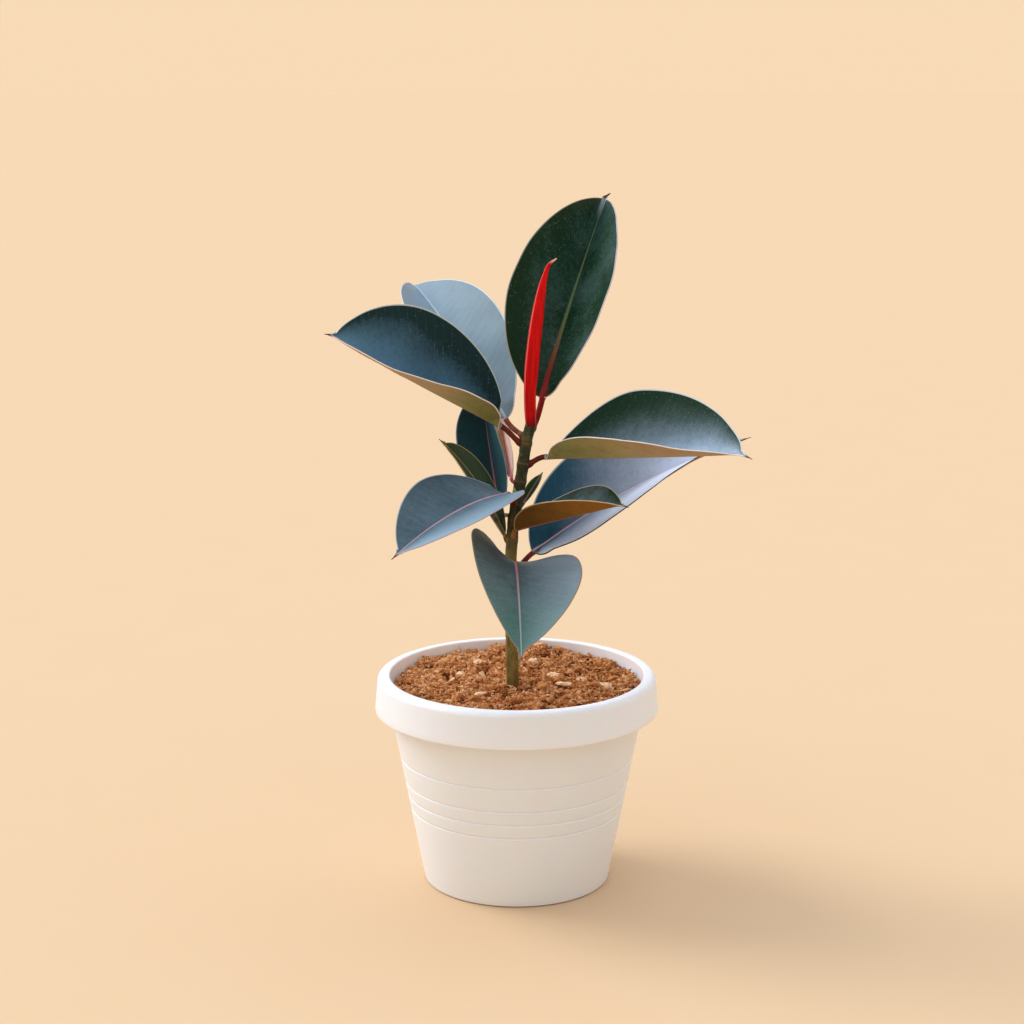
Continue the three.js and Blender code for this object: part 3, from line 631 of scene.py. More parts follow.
def leaf_material(name, look):
    """Waxy upper side with painted sheen, a painted apex highlight, fine side veins, midrib and rim; paler
    matt lower side.
    """
    g = material_graph(name + "_look")
    at = {key: g.value(key) for key in ("side", "along", "cross", "span", "edge", "vein")}
    lines, broad, fine, grain = vein_patterns(g, at)
    uneven = (
        (g.noise(24, 3, 0.55), look["cloud"]),
        (grain, look["mottle"]),
        (g.plus(g.times(broad, 0.6), g.times(fine, 0.4)), look["streaks"]),
    )
    upper = upper_side(g, look, at, lines, wax_and_sheen_level(g, look, at, uneven))
    lower = lower_side(g, look, at, lines, grain)

    rib_width = g.ramp(at["along"], 0.0, 1.0, look["rib_width"], 0.3)
    rib = g.ramp(g.minus(at["span"], rib_width), 0.3, -0.15)
    rib_colour = g.mix(g.ramp(at["along"], 0.05, look["rib_turn"]), *look["rib"])
    upper = g.mix(g.times(rib, 0.85), upper, rib_colour)
    lower = g.mix(g.times(rib, 0.6), lower, rib_colour)

    colour = g.mix(at["side"], lower, upper)
    rim = g.ramp(at["edge"], look["rim_width"], 0.4 * look["rim_width"])
    is_left = g.math("GREATER_THAN", at["cross"], 0.0)
    rim_colour = g.mix(is_left, on_side(look["rims"], 1), on_side(look["rims"], 0))
    colour = g.mix(g.times(rim, look["rim_share"]), colour, rim_colour)
    colour = petiole_and_tip(g, look, at, colour)

    waxy = g.plus(g.times(broad, 0.14), look["rough"] - 0.07)
    rough = g.add("ShaderNodeMix", {0: at["side"], 2: 0.62, 3: waxy}, data_type="FLOAT").outputs[0]
    relief = g.plus(g.times(lines, 0.35), g.times(g.noise(0.6, 2), 0.2))
    normal = g.bump(relief, 0.03, g.bump(grain, 0.1))
    return g.finish(colour, rough, normal, IOR=1.46, Specular_IOR_Level=look["shine"])


# -------- pot
def body_radius(z):
    return BODY_BASE_RADIUS + BODY_TAPER * z


def inner_radius(z):
    return lerp(body_radius(0) - WALL, MOUTH_RADIUS, z / (POT_HEIGHT - MOUTH_EDGE_RADIUS))


def arc(centre, radius, start, end, steps):
    angles = np.radians(np.linspace(start, end, steps + 1))
    return [(centre[0] + radius * math.cos(a), centre[1] + radius * math.sin(a)) for a in angles]


def pot_profile():
    """Radius and height round the pot's section, from the middle of the underside to that of the floor."""
    rim_foot = POT_HEIGHT - RIM_DROP
    rim_under = POT_HEIGHT - WALL - RIM_CORNER
    places = [(FOOT_RING_RADIUS * k / 6, 0) for k in range(6)]
    places += arc((FOOT_RING_RADIUS - FOOT_RING_EDGE, FOOT_RING_EDGE), FOOT_RING_EDGE, -90, 0, 3)
    places += [(FOOT_RING_RADIUS + FOOT_RING_SLOPE, FOOT_RING_HEIGHT)]
    places += arc((FOOT_RADIUS, FOOT_RING_HEIGHT + FOOT_EDGE), FOOT_EDGE, -90, -11, 6)
    for groove in GROOVE_HEIGHTS:
        for k in range(-6, 7):
            z = groove + GROOVE_HALF_WIDTH * k / 4
            places.append((body_radius(z) - GROOVE_DEPTH * bell(k, 2.6), z))
    places += [(body_radius(z), z) for z in np.linspace(*PLAIN_WALL, 12)]
    places += arc((body_radius(rim_under) + RIM_FILLET, rim_under - RIM_FILLET), RIM_FILLET, 180, 90, 4)
    skirt_inside = RIM_TOP_RADIUS - RIM_THICKNESS
    places += [(skirt_inside - 1, rim_under), (skirt_inside, rim_under - 1)]
    corner_z = rim_foot + RIM_CORNER
    places += arc((RIM_RADIUS - RIM_THICKNESS + RIM_CORNER, corner_z), RIM_CORNER, 180, 270, 3)
    places += arc((RIM_RADIUS - RIM_CORNER, corner_z), RIM_CORNER, 270, 360, 3)
    edge_z = POT_HEIGHT - RIM_EDGE_RADIUS
    climb = [k / 8 for k in range(1, 8)]
    places += [(lerp(RIM_RADIUS, RIM_TOP_RADIUS, t), lerp(rim_foot + 1, edge_z, t)) for t in climb]
    places += arc((RIM_TOP_RADIUS - RIM_EDGE_RADIUS, edge_z), RIM_EDGE_RADIUS, 0, 90, 10)
    mouth_edge = (MOUTH_RADIUS + MOUTH_EDGE_RADIUS, POT_HEIGHT - MOUTH_EDGE_RADIUS)
    places += arc(mouth_edge, MOUTH_EDGE_RADIUS, 90, 180, 6)
    heights = np.linspace(POT_HEIGHT - 2, FLOOR_THICKNESS + FLOOR_CORNER, 24)
    places += [(inner_radius(z), z) for z in heights]
    floor_radius = inner_radius(FLOOR_THICKNESS)
    places += [(floor_radius - FLOOR_CORNER, FLOOR_THICKNESS)]
    places += [(floor_radius * k / 6, FLOOR_THICKNESS) for k in range(5, -1, -1)]
    return np.array(places)


def make_pot():
    radii, heights = pot_profile().T
    x, y = level_rings(radii, POT_SIDES)
    points, faces = lofted(triples(x, y, heights[:, None]))
    pot = make_piece("pot_shell", points, faces, pot_material(), "pot")
    drill_holes(pot)


def drill_holes(pot):
    """Cuts the drain holes through the floor."""
    work = bmesh.new()
    radius, depth = DRAIN_RADIUS * MM, 4 * FLOOR_THICKNESS * MM
    for i in range(DRAIN_HOLES):
        angle = 2 * math.pi * i / DRAIN_HOLES
        shift = (DRAIN_CIRCLE * math.cos(angle) * MM, DRAIN_CIRCLE * math.sin(angle) * MM, 0)
        before = set(work.verts)
        bmesh.ops.create_cone(work, cap_ends=True, segments=32, radius1=radius, radius2=radius, depth=depth)
        bmesh.ops.translate(work, vec=shift, verts=[v for v in work.verts if v not in before])
    drill_mesh = bpy.data.meshes.new("drill")
    work.to_mesh(drill_mesh)
    work.free()
    drill = add_object("drill", drill_mesh)
    cut = pot.modifiers.new("drain", "BOOLEAN")
    cut.operation = "DIFFERENCE"
    cut.object = drill
    cut.solver = "EXACT"
    keep_modified(pot)
    bpy.data.objects.remove(drill)


def keep_modified(piece):
    """Makes the modifiers' result the piece's own mesh."""
    evaluated = piece.evaluated_get(bpy.context.evaluated_depsgraph_get())
    made = bpy.data.meshes.new_from_object(evaluated)
    piece.modifiers.clear()
    piece.data = made


# -------- soil
def soil_height(x, y):
    """The frame's own soil level."""
    back = part_way(y, 0, SOIL_BACK_REACH)
    heap = bell(x - SOIL_HEAP["x"], SOIL_HEAP["width"]) * part_way(y, SOIL_HEAP["start"], SOIL_HEAP["end"])
    lumps = sum(share * np.sin(a * x + b * y + start) for share, a, b, start in SOIL_WAVES)
    return SOIL_LEVEL + SOIL_BACK_RISE * back + SOIL_HEAP["height"] * heap + SOIL_LUMP * lumps


def ridges(points, size, seed):
    """Sharp-crested random ups and downs of about one unit."""
    return 1.2 - 2 * np.abs(ripple(points, size, seed))


def crumb_relief(x, y):
    """How far the crumbs and hollows rise above or sink below the soil level."""
    flat = triples(x, y, 0)
    bent = flat + 1.4 * triples(ripple(flat, 6, 15), ripple(flat, 6, 16), 0)
    relief = 0.75 * ripple(flat, 12, 11) + 0.75 * ridges(bent, 8, 12) + 0.45 * ridges(bent, 3.4, 13)
    relief = relief + 0.3 * ripple(bent, 1.7, 17) + 0.16 * ripple(flat, 0.9, 18)
    hollow = bell(np.hypot(x - STEM_FOOT_X, y) - STEM_HOLLOW["radius"], STEM_HOLLOW["width"])
    pit = bell(np.hypot(x - SOIL_PIT["x"], y - SOIL_PIT["y"]), SOIL_PIT["width"])
    return relief - STEM_HOLLOW["depth"] * hollow - SOIL_PIT["depth"] * pit


def crumbly_height(x, y):
    return soil_height(x, y) + crumb_relief(x, y)


def make_soil_bed():
    foot = inner_radius(FLOOR_THICKNESS) - SOIL_FOOT_GAP
    top_radii = SOIL_EDGE_RADIUS * np.linspace(1, 0.01, SOIL_STEPS)
    x, y = level_rings([foot, foot + SOIL_FOOT_BEVEL, *top_radii], SOIL_SIDES)
    z = crumbly_height(x, y)
    z[0] = SOIL_FOOT_Z
    z[1] = SOIL_FOOT_Z + SOIL_FOOT_BEVEL
    points, faces = lofted(triples(x, y, z))
    x, y, _ = points.T
    # Painted shade: the grain follows the crumb relief, so the hollows come out darker and the crests paler.
    grain = 0.4 + 0.4 * crumb_relief(x, y) + 0.12 * ripple(points, 3, 14) + back_left_paleness(x, y)
    values = {"grain": np.clip(grain, 0, PALEST_GRAIN)}
    make_piece("soil_bed", points, faces, SOIL_LOOK, "soil", values)


def base_ball(level):
    """Points and faces of a ball of radius 1."""
    work = bmesh.new()
    bmesh.ops.create_icosphere(work, subdivisions=level, radius=1.0)
    points, faces = read_out(work)
    return points, np.array(faces)


def turns_about(axis, angle):
    """Matrices that turn by each angle about x (0), y (1) or z (2)."""
    a, b = (axis + 1) % 3, (axis + 2) % 3
    turn = np.zeros((len(angle), 3, 3))
    turn[:, axis, axis] = 1
    turn[:, a, a] = turn[:, b, b] = np.cos(angle)
    turn[:, b, a] = np.sin(angle)
    turn[:, a, b] = -np.sin(angle)
    return turn


def random_turns(rng, count, tilt):
    """Turn matrices: any heading, and about tilt radians off level."""
    heading = rng.uniform(0, 2 * np.pi, count)
    lean_x, lean_y = rng.normal(0, tilt, (count, 2)).T
    return turns_about(2, heading) @ turns_about(0, lean_x) @ turns_about(1, lean_y)


def chip_spots():
    """Middle and half reach of every chip, seen from above."""
    spots = []
    for number in range(1, CHIP_COUNT + 1):
        corners = np.array([v.co[:2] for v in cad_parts[f"soil_chip_{number}"].data.vertices]) / MM
        spots.append((corners.mean(0), np.ptp(corners, axis=0).mean() / 2))
    return spots


def scatter_places(rng, count, margin):
    """Random places on the soil, clear of the stem and the chips."""
    radius = (SOIL_EDGE_RADIUS - 0.4 * margin) * np.sqrt(rng.uniform(0.0, 1.0, count))
    angle = rng.uniform(0, 2 * np.pi, count)
    x, y = radius * np.cos(angle), radius * np.sin(angle)
    clear = np.hypot(x - STEM_FOOT_X, y) > STEM_RADIUS_LOW + margin
    for (chip_x, chip_y), reach in chip_spots():
        clear &= np.hypot(x - chip_x, y - chip_y) > 0.95 * reach + 0.15 * margin
    return x[clear], y[clear]


def back_left_paleness(x, y):
    """Paler at the back and on the left."""
    return 0.2 * y / SOIL_EDGE_RADIUS - 0.16 * x / SOIL_EDGE_RADIUS


def inside_wall(points):
    """The same points, with any beyond the inside of the wall brought back to it."""
    reach = np.hypot(points[..., 0], points[..., 1])
    limit = inner_radius(points[..., 2]) - 0.15
    shrink = np.minimum(1, limit / np.maximum(reach, 1))
    return points * triples(shrink, shrink, 1)


def make_crumbs(name, count, size, shape, level, seed, material, rise=0.25, tilt=0.7, wear=0.35):
    """Many uneven angular crumbs lying on the soil, as one piece; their undersides carry painted shade."""
    rng = np.random.default_rng(seed)
    ball, ball_faces = base_ball(level)
    lumps = np.stack([ripple(ball, 1.3, seed + k) for k in range(12)])
    x, y = scatter_places(rng, count, size[1])
    count = len(x)
    sizes = size[0] + (size[1] - size[0]) * rng.uniform(0, 1, count) ** 2.2
    worn = 1 + wear * lumps[rng.integers(0, len(lumps), count)][:, :, None]
    worn = worn * rng.uniform(1 - 0.4 * wear, 1 + 0.4 * wear, (count, len(ball), 1))
    stretch = sizes[:, None] * np.array(shape) * rng.uniform(0.75, 1.3, (count, 3))
    local = ball[None] * worn * stretch[:, None, :]
    local = np.einsum("nij,nvj->nvi", random_turns(rng, count, tilt), local)
    places = triples(x, y, crumbly_height(x, y) + rise * sizes)
    points = inside_wall(local + places[:, None, :])
    faces = (ball_faces[None] + (np.arange(count) * len(ball))[:, None, None]).reshape(-1, 3).tolist()
    # Painted shade: each crumb's random tone is darkened towards its underside and paled towards its top.
    grain = (rng.uniform(0, 1, count) + back_left_paleness(x, y))[:, None] + 0.45 * local[..., 2] / sizes[:, None]
    values = {"grain": np.clip(grain, 0, PALEST_GRAIN)}
    make_piece(name, points.reshape(-1, 3), faces, material, None, values, smooth_faces=level > 2)


def make_fibres(name, count, seed, material):
    """Fine husk fibres lying over the crumbs, as one piece."""
    rng = np.random.default_rng(seed)
    points, faces, grain = [], [], []
    start = 0
    x, y = scatter_places(rng, count, 5)
    steps, sides = 9, 5
    for cx, cy in zip(x, y):
        length = rng.uniform(*FIBRE_LENGTH)
        heading = rng.uniform(0, 2 * np.pi)
        bend = rng.normal(0, 1.1)
        t = np.linspace(-0.5, 0.5, steps)
        turn = heading + bend * t
        xs = cx + np.cumsum(np.cos(turn)) * length / steps
        ys = cy + np.cumsum(np.sin(turn)) * length / steps
        scale = np.minimum(1, (SOIL_EDGE_RADIUS - 0.5) / np.hypot(xs, ys))
        xs, ys = xs * scale, ys * scale
        lift = rng.uniform(0.3, 0.9) + rng.uniform(0, 1.6) * (t + 0.5) ** 2
        axis = triples(xs, ys, crumbly_height(xs, ys) + lift)
        radii = rng.uniform(*FIBRE_RADIUS) * (1 - 0.75 * np.abs(2 * t) ** 3)
        made, made_faces = lofted(rod_rings(axis, radii, sides))
        faces += [[i + start for i in f] for f in made_faces]
        start += len(made)
        points.append(made)
        grain.append(np.full(len(made), rng.uniform(0, 1)))
    values = {"grain": np.concatenate(grain)}
    make_piece(name, np.vstack(points), faces, material, values=values)


def make_chip(number, material):
    """A husk chip or pebble: the frame's chip, rounded and worn."""
    node = f"soil_chip_{number}"
    work = bmesh.new()
    work.from_mesh(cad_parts[node].data)
    bmesh.ops.remove_doubles(work, verts=work.verts, dist=0.00001)
    bmesh.ops.subdivide_edges(work, edges=work.edges, cuts=3, use_grid_fill=True, smooth=0.6)
    points, faces = read_out(work)
    points = points / MM
    centre = points.mean(0)
    worn = 1 + 0.1 * ripple(points, 2.6, 40 + number) + 0.045 * ripple(points, 0.9, 60 + number)
    points = centre + (points - centre) * worn[:, None]
    make_piece(f"husk_chip_{number}", points, faces, material, node)


# -------- stem, sheath and bud
def make_stem():
    steps, sides = 420, 48
    axis = curve_through(STEM_AXIS, steps)
    z = axis[:, 2]
    plain = lerp(STEM_RADIUS_LOW, STEM_RADIUS_TOP, part_way(z, SOIL_LEVEL, STEM_AXIS[-1][2]))
    swell = sum(bell(z - node, STEM_NODE_WIDTH) for node in STEM_NODE_HEIGHTS)
    ring = sum(bell(z - node - STEM_SCAR_OFFSET, STEM_SCAR_WIDTH) for node in STEM_NODE_HEIGHTS)
    base = plain + STEM_NODE_SWELL * np.minimum(swell, 1) + STEM_SCAR_SWELL * np.minimum(ring, 1)
    angle = round_angles(sides)
    rings = rod_rings(axis, base, sides)
    flutes = 0.05 * np.sin(5 * angle + 0.04 * z[:, None]) + 0.03 * np.sin(9 * angle - 0.07 * z[:, None] + 1)
    uneven = flutes + 0.06 * ripple(rings, 5, 21) + 0.035 * ripple(rings, 1.6, 22)
    rings = rod_rings(axis, base[:, None] + uneven, sides)
    points, faces = lofted(rings)
    marks = np.minimum(ring + 0.1 * swell, 1)[:, None]
    values = {"ring": point_values(marks, rings), "height": points[:, 2]}
    make_piece("stem_wood", points, faces, stem_material(), "stem", values)


def share_along(rings):
    """0 at the first ring's points to 1 at the last's."""
    return point_values(np.linspace(0, 1, len(rings))[:, None], rings, (0, 1))


def make_sheath():
    steps, sides = 220, 72
    rows = curve_through(SHEATH_AXIS, steps)
    angle = round_angles(sides)
    # The sheath's free edge wraps over itself on its left, as a low step with a pale lip; its paleness is
    # partly a painted highlight along that edge.
    from_seam = (angle - math.radians(SHEATH_SEAM)) % (2 * np.pi)
    step = SHEATH_STEP * np.exp(-from_seam / 0.5) - 0.05 * bell(from_seam - 5.9, 0.2)
    flutes = 0.012 * np.sin(6 * angle) + 0.01 * np.sin(11 * angle + 1)
    radii = rows[:, 3:] * (1 + flutes) + step * np.minimum(1, rows[:, 3:] / 2)
    rings = rod_rings(rows[:, :3], radii, sides)
    points, faces = lofted(rings)
    pale_lip_highlight = bell(np.minimum(from_seam, 2 * np.pi - from_seam), SHEATH_LIP_HIGHLIGHT)
    values = {"along": share_along(rings), "lip_highlight": point_values(pale_lip_highlight, rings)}
    make_piece("sheath_wrap", points, faces, sheath_material(), "bud_sheath", values)


def make_bud():
    steps, sides = 40, 32
    rows = curve_through(BUD_AXIS, steps)
    swell = np.sin(np.linspace(0, 3 * np.pi, steps + 1))[:, None]
    scales = 1 + 0.06 * np.cos(3 * round_angles(sides)) * swell
    rings = rod_rings(rows[:, :3], rows[:, 3:] * scales, sides)
    points, faces = lofted(rings)
    values = {"along": share_along(rings)}
    make_piece("bud_scales", points, faces, bud_material(), "axil_bud", values)


# -------- leaves
FINE_STEPS = 600  # for the midrib's course
SPECK_SPACING = 2.0
CLEAR_OF_EDGE = 9  # the petiole counts as this far from a rim, so that it takes no rim colour
PETIOLE_STEPS = 28
PETIOLE_MERGE = 0.1
FOLD_START = 0.06  # share of the length over which the blade takes up its fold
HOOK_START = 0.86
DRIP_HALF_WIDTH = 0.6
FLARE_HALF_WIDTH = 2.8  # added where the blade meets the drip tip, less on a short leaf
FLARE_FULL_LENGTH = 120
FLARE_REACH = 0.02  # share of the leaf's length
CREASE = 0.6  # mm over which the fold along the midrib is rounded
VEIN_SLANT = 0.36  # how far a side vein runs forward for each mm outwards
VEIN_BEND = 0.004
VEIN_SPACING = 5.8
VEIN_RIDGE = 0.03
HALF_THICKNESS = (0.42, 0.24)  # beside the midrib and at the rim
RIB_TIP_RADIUS = 0.3
RIB_GROOVE = 0.2  # how deep the midrib lies in the upper side


def stem_at(z):
    rows = np.array(STEM_AXIS)
    return np.array([np.interp(z, rows[:, 2], rows[:, k]) for k in range(3)])


def blade_frame(leaf, t):
    """Forward, left and up at each t along the midrib."""
    t = np.atleast_1d(np.asarray(t, float))
    bend = part_way(t, HOOK_START, 1) ** 1.5
    drip = part_way(t, leaf["tip_start"], 1)
    pitch = np.radians(leaf["pitch"] + leaf["droop"] * t + leaf["hook"] * bend)
    heading = np.radians(leaf["heading"] + leaf["sweep"] * t + leaf["veer"] * drip)
    roll = np.radians(leaf["roll"] + leaf["twist"] * t)[:, None]
    forward = triples(np.cos(pitch) * np.cos(heading), np.cos(pitch) * np.sin(heading), np.sin(pitch))
    level = triples(-np.sin(heading), np.cos(heading), 0)
    above = np.cross(forward, level)
    left = level * np.cos(roll) + above * np.sin(roll)
    up = above * np.cos(roll) - level * np.sin(roll)
    return forward, left, up


def on_side(value, side):
    """The left (0) or right (1) half's value, where a measure has two."""
    return value[side] if isinstance(value, tuple) else value


def blade_width(leaf, t, side):
    """Half width at each t; the blade runs out into a narrow drip tip through a short concave flare."""
    widest = on_side(leaf["widest"], side)
    rise = (1 - (1 - np.minimum(t / widest, 1)) ** 2) ** on_side(leaf["shoulder"], side)
    reach = part_way(t, widest, leaf["tip_start"])
    fall = (1 - reach ** 2) ** on_side(leaf["taper"], side)
    fold = np.radians(on_side(leaf["fold"], side) + on_side(leaf["curl"], side) / 2)
    slimmer = np.cos(fold) / np.cos(fold * smooth(t, 0, FOLD_START))
    blade = on_side(leaf["half_width"], side) * np.where(t < widest, rise, fall)
    blade = blade * lerp(1, slimmer, on_side(leaf["slim_base"], side))
    tip = DRIP_HALF_WIDTH * (1 - 0.6 * part_way(t, leaf["tip_start"], 1))
    flare = FLARE_HALF_WIDTH * min(1, leaf["length"] / FLARE_FULL_LENGTH)
    flare = flare * np.exp(-np.abs(t - leaf["tip_start"]) / FLARE_REACH)
    return softer_max(blade, softer_max(tip, flare, 3), 3)


def leaf_sections(leaf, steps):
    """Centre, directions, t, flatness, rib radius and half widths, with a row for every cross-section."""
    fine = (np.arange(FINE_STEPS) + 0.5) / FINE_STEPS
    forward, _, _ = blade_frame(leaf, fine)
    course = np.vstack([[0, 0, 0], np.cumsum(forward, 0)]) * leaf["length"] / FINE_STEPS + leaf["base"]
    t = 0.5 * (1 - np.cos(np.pi * np.arange(steps + 1) / steps))
    places = np.linspace(0, 1, FINE_STEPS + 1)
    centre = np.stack([np.interp(t, places, course[:, k]) for k in range(3)], 1)
    forward, left, up = blade_frame(leaf, t)
    narrowest = leaf["petiole"] * (1 - t / PETIOLE_MERGE)
    widths = [np.maximum(blade_width(leaf, t, side), narrowest) for side in (0, 1)]
    rib = lerp(leaf["petiole"], RIB_TIP_RADIUS, np.sqrt(t))

    base, root = centre[0], stem_at(leaf["node"])
    reach = np.linalg.norm(base - root)
    outward = unit(np.array([base[0] - root[0], base[1] - root[1], 0.35 * reach]))
    knots = [root, root + outward * 0.4 * reach, base - forward[0] * 0.35 * reach, base]
    s = np.arange(PETIOLE_STEPS)[:, None] / PETIOLE_STEPS
    weights = [(1 - s) ** 3, 3 * s * (1 - s) ** 2, 3 * s ** 2 * (1 - s), s ** 3]
    stalk = sum(w * k for w, k in zip(weights, knots))
    stalk_forward = unit(np.gradient(np.vstack([stalk, base]), axis=0)[:-1])
    stalk_left = unit(np.cross(up[0], stalk_forward))
    stalk_up = np.cross(stalk_forward, stalk_left)
    from_stem = s[:, 0] * reach - STEM_RADIUS_LOW
    stalk_radius = 0.88 * leaf["petiole"] * (1 + 0.4 * bell(np.maximum(from_stem, 0), 1.6))

    none = np.zeros(PETIOLE_STEPS)
    parts = {
        "centre": (stalk, centre),
        "left": (stalk_left, left),
        "up": (stalk_up, up),
        "t": (none, t),
        "along": (s[:, 0] - 1, t),
        "flat": (none, smooth(t, 0, PETIOLE_MERGE)),
        "rib": (stalk_radius, rib),
        "left_width": (stalk_radius, widths[0]),
        "right_width": (stalk_radius, widths[1]),
    }
    return {key: np.concatenate(pair)[:, None] for key, pair in parts.items()}


def half_places(width, rib):
    """Distances from the midrib to the rim, close together on the rib and at the rim."""
    inner = np.minimum(2.4 * rib, 0.6 * width)
    outer = width - np.minimum(0.9, 0.2 * width)
    near = inner * np.linspace(0, 1, 9)[1:]
    blade = inner + (outer - inner) * np.linspace(0, 1, 15)[1:]
    rim = outer + (width - outer) * np.array([0.35, 0.62, 0.82, 0.95, 1.0])
    return np.hstack([near, blade, rim])


def across(cut, leftward, upward):
    """Vectors across the midrib, from how far each runs leftward and upward."""
    return leftward[..., None] * cut["left"] + upward[..., None] * cut["up"]


def make_leaf(name, leaf, number):
    steps = 210 if leaf["length"] > 90 else 120
    cut = leaf_sections(leaf, steps)
    t, along, flat, rib = (cut[key] for key in ("t", "along", "flat", "rib"))
    left_half = half_places(cut["left_width"], rib)
    right_half = half_places(cut["right_width"], rib)
    signed = np.hstack([left_half[:, ::-1], 0 * t, -right_half])  # from the left rim to the right rim
    distance = np.abs(signed)
    is_left = signed >= 0
    width = np.where(is_left, cut["left_width"], cut["right_width"])
    share = distance / width

    def by_side(key):
        return np.where(is_left, on_side(leaf[key], 0), on_side(leaf[key], 1))

    fold = by_side("fold") + by_side("close") * t
    curl = by_side("curl")
    half_curl = np.radians(curl * share) / 2
    lean = np.radians(fold) * smooth(t, 0, FOLD_START) + half_curl
    chord = distance * (1 - half_curl ** 2 / 6)
    rise = (np.sqrt(chord ** 2 + CREASE ** 2) - CREASE) * np.sin(lean)
    spread = np.sign(signed) * chord * np.cos(lean)
    slope = (lean + half_curl) * smooth(distance, 0, 2 * CREASE)
    middle = cut["centre"] + across(cut, spread, rise)
    facing = across(cut, -np.sign(signed) * np.sin(slope), np.cos(slope))

    vein = along * leaf["length"] - VEIN_SLANT * distance - VEIN_BEND * distance ** 2
    on_blade = flat * smooth(distance, 1.5, 6)
    sway = 0.28 * ripple(middle, 34, 100 + number) + 0.05 * ripple(middle, 13, 130 + number)
    ribbing = VEIN_RIDGE * np.sin(2 * np.pi * vein / VEIN_SPACING) * smooth(width - distance, 0.5, 4)
    middle = middle + ((sway + ribbing) * on_blade)[..., None] * facing

    thick = lerp(*HALF_THICKNESS, share ** 2) * (0.25 + 0.75 * np.clip(width / rib - 1, 0, 1))
    round_half = np.sqrt(np.maximum(rib ** 2 - distance ** 2, 0))
    keel = rib * bell(distance, 0.95 * rib)
    groove = RIB_GROOVE * flat * bell(distance, 0.9) * smooth(t, 0.02, 0.1)
    above = softer_max(round_half * (1 - flat), thick) - groove
    below = softer_max(lerp(round_half, keel, flat), thick)
    upper = middle + above[..., None] * facing
    lower = middle - below[..., None] * facing

    rings = np.hstack([upper, lower[:, ::-1]])
    points, faces = lofted(rings)

    def both(values, ends=(0, 0)):
        full = np.broadcast_to(values, signed.shape)
        return point_values(np.hstack([full, full[:, ::-1]]), rings, ends)

    edge = np.where(along < 0, CLEAR_OF_EDGE, width - distance)
    values = {
        "along": both(along, (-1, 1)),
        "cross": both(np.sign(signed) * share),
        "span": both(distance),
        "edge": both(edge, (CLEAR_OF_EDGE, 0)),
        "vein": both(vein),
        "side": point_values(np.arange(rings.shape[1]) < signed.shape[1], rings),
    }
    make_piece(name + "_blade", points, faces, leaf_material(name, leaf), name, values)


# -------- stage
CAMERA_AT = (-0.00265, -1.184, 0.4634)
CAMERA_DOWN = 11.96  # degrees below level
CAMERA_LENS = 76.5
CAMERA_SENSOR = 36
FLOOR_REACH = 24
KEY_HEADING = 155  # degrees from +X towards +Y
KEY_HEIGHT = 38
KEY_SPREAD = 34
KEY_POWER = 1.7
KEY_COLOUR = (1.0, 0.99, 0.97)
SKY_TOWARD = (-0.24, 0.27, 0.93)  # the middle of the bright part of the room's soft light
SKY_BRIGHT = (1.2, 1.31, 1.46, 1)
SKY_DIM = (0.5, 0.5, 0.53, 1)
LOW_ROOM = (0.943, 0.707, 0.474, 1)  # as the lit floor looks, so that the horizon doesn't show


def make_camera():
    data = bpy.data.cameras.new("camera")
    data.lens = CAMERA_LENS
    data.sensor_width = CAMERA_SENSOR
    data.clip_start = 0.01
    data.clip_end = 60
    camera = add_object("camera", data)
    camera.location = CAMERA_AT
    camera.rotation_euler = (math.radians(90 - CAMERA_DOWN), 0, 0)
    bpy.context.scene.camera = camera


def make_key_light():
    data = bpy.data.lights.new("key_left", "SUN")
    data.energy = KEY_POWER
    data.angle = math.radians(KEY_SPREAD)
    data.color = KEY_COLOUR
    light = add_object("key_left", data)
    light.rotation_euler = (math.radians(90 - KEY_HEIGHT), 0, math.radians(KEY_HEADING + 90))


def make_floor():
    mesh = bpy.data.meshes.new("floor")
    r = FLOOR_REACH
    mesh.from_pydata([(-r, -r, 0), (r, -r, 0), (r, r, 0), (-r, r, 0)], [], [(0, 1, 2, 3)])
    g = material_graph("floor_paint")
    colour = g.mix(g.noise(60, 4), "#d7b995", "#d9bb98")
    mesh.materials.append(g.finish(colour, 0.9, Specular_IOR_Level=0.1))
    floor = add_object("floor", mesh)


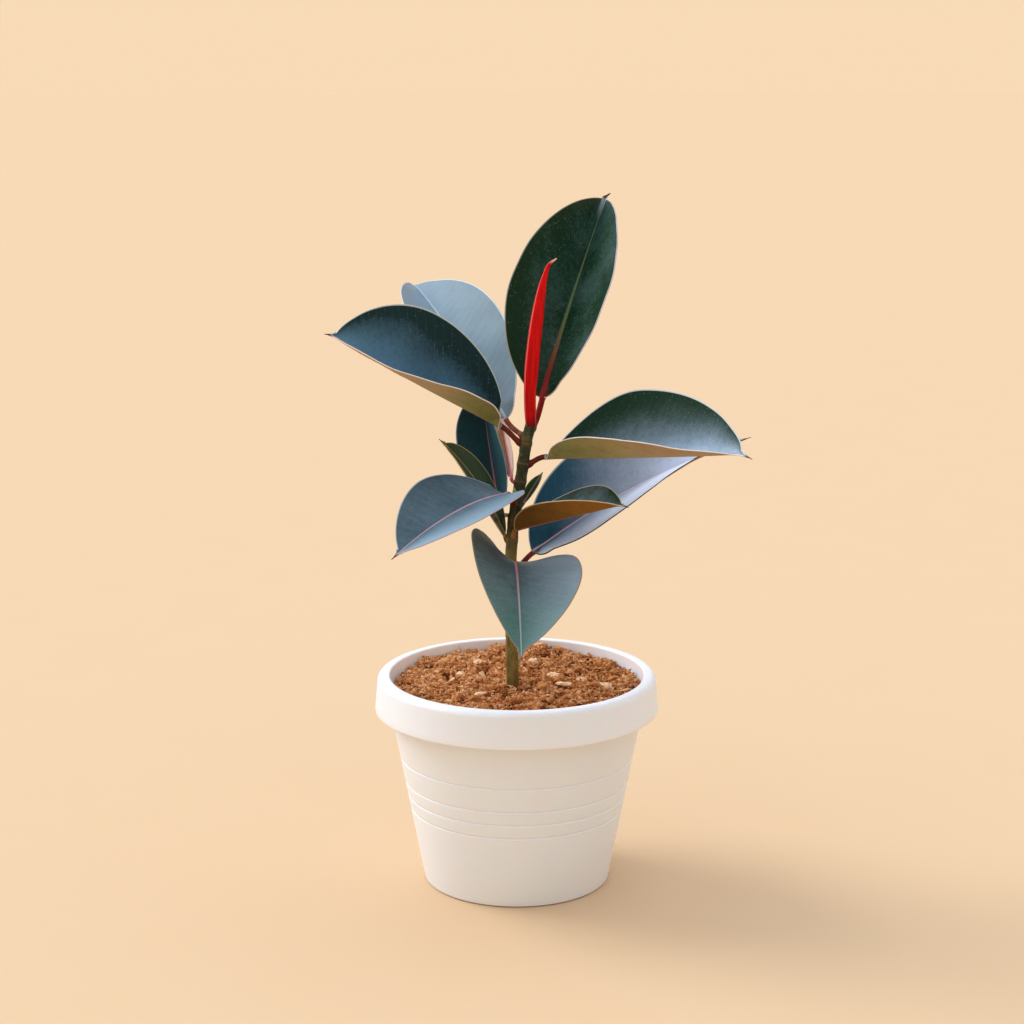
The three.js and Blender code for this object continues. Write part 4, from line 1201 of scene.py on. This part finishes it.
def make_room():
    """Soft light from all round: as pale as the floor near the horizon, cooler and uneven higher up."""
    world = bpy.data.worlds.new("room")
    g = Graph(world, "Generated")
    toward = g.add("ShaderNodeVectorMath", {0: g.place, 1: SKY_TOWARD}, operation="DOT_PRODUCT")
    height = g.add("ShaderNodeSeparateXYZ", {0: g.place}).outputs["Z"]
    sky = g.mix(g.ramp(toward.outputs["Value"], 0.0, 0.9), SKY_DIM, SKY_BRIGHT)
    whole = g.mix(g.ramp(height, 0.2, 0.5), LOW_ROOM, sky)
    g.put(g.tree.nodes["Background"].inputs["Color"], whole)
    bpy.context.scene.world = world


def make_stage():
    make_camera()
    make_floor()
    make_room()
    make_key_light()
    bpy.context.scene.view_settings.view_transform = "Standard"


# -------- the plant
SOIL_LOOK = soil_material("coir_bed", "#6a3818", "#bd7842", "#dc9c62")
CRUMB_LOOK = soil_material("coir_crumb", "#7a4420", "#c08352", "#e2ae7e")
CLOD_LOOK = soil_material("coir_clod", "#643416", "#aa6838", "#cc9058")
FIBRE_LOOK = soil_material("coir_fibre", "#8a5a30", "#c08850", "#e6bd8c", 0.85)
FLAKE_LOOK = soil_material("coir_flake", "#8a5228", "#c48c5a", "#e0b486", 0.88)

make_stage()
make_pot()
make_soil_bed()
make_crumbs("soil_dust", 9500, (0.3, 0.75), (1.4, 1, 0.8), 1, 31, CRUMB_LOOK, rise=0.3)
make_crumbs("soil_grit", 2400, (0.45, 1.05), (1.4, 1, 0.8), 1, 36, CRUMB_LOOK)
make_crumbs("soil_crumbs", 380, (0.9, 1.9), (1.3, 1, 0.85), 2, 32, CRUMB_LOOK, rise=0.1)
make_crumbs("soil_clods", 70, (1.3, 2.6), (1.4, 1, 0.75), 3, 33, CLOD_LOOK, rise=-0.1, wear=0.4)
make_crumbs(
    "soil_flakes", 130, (0.8, 2.4), (1.8, 0.7, 0.18), 2, 34, FLAKE_LOOK, rise=0.3, tilt=0.4, wear=0.15
)
make_fibres("soil_fibres", 320, 35, FIBRE_LOOK)
CHIP_LOOK = chip_material()
for chip_number in range(1, CHIP_COUNT + 1):
    make_chip(chip_number, CHIP_LOOK)
make_stem()
make_sheath()
make_bud()
for leaf_number, (leaf_name, own_values) in enumerate(LEAVES.items()):
    make_leaf(leaf_name, {**LEAF_DEFAULTS, **own_values}, leaf_number)
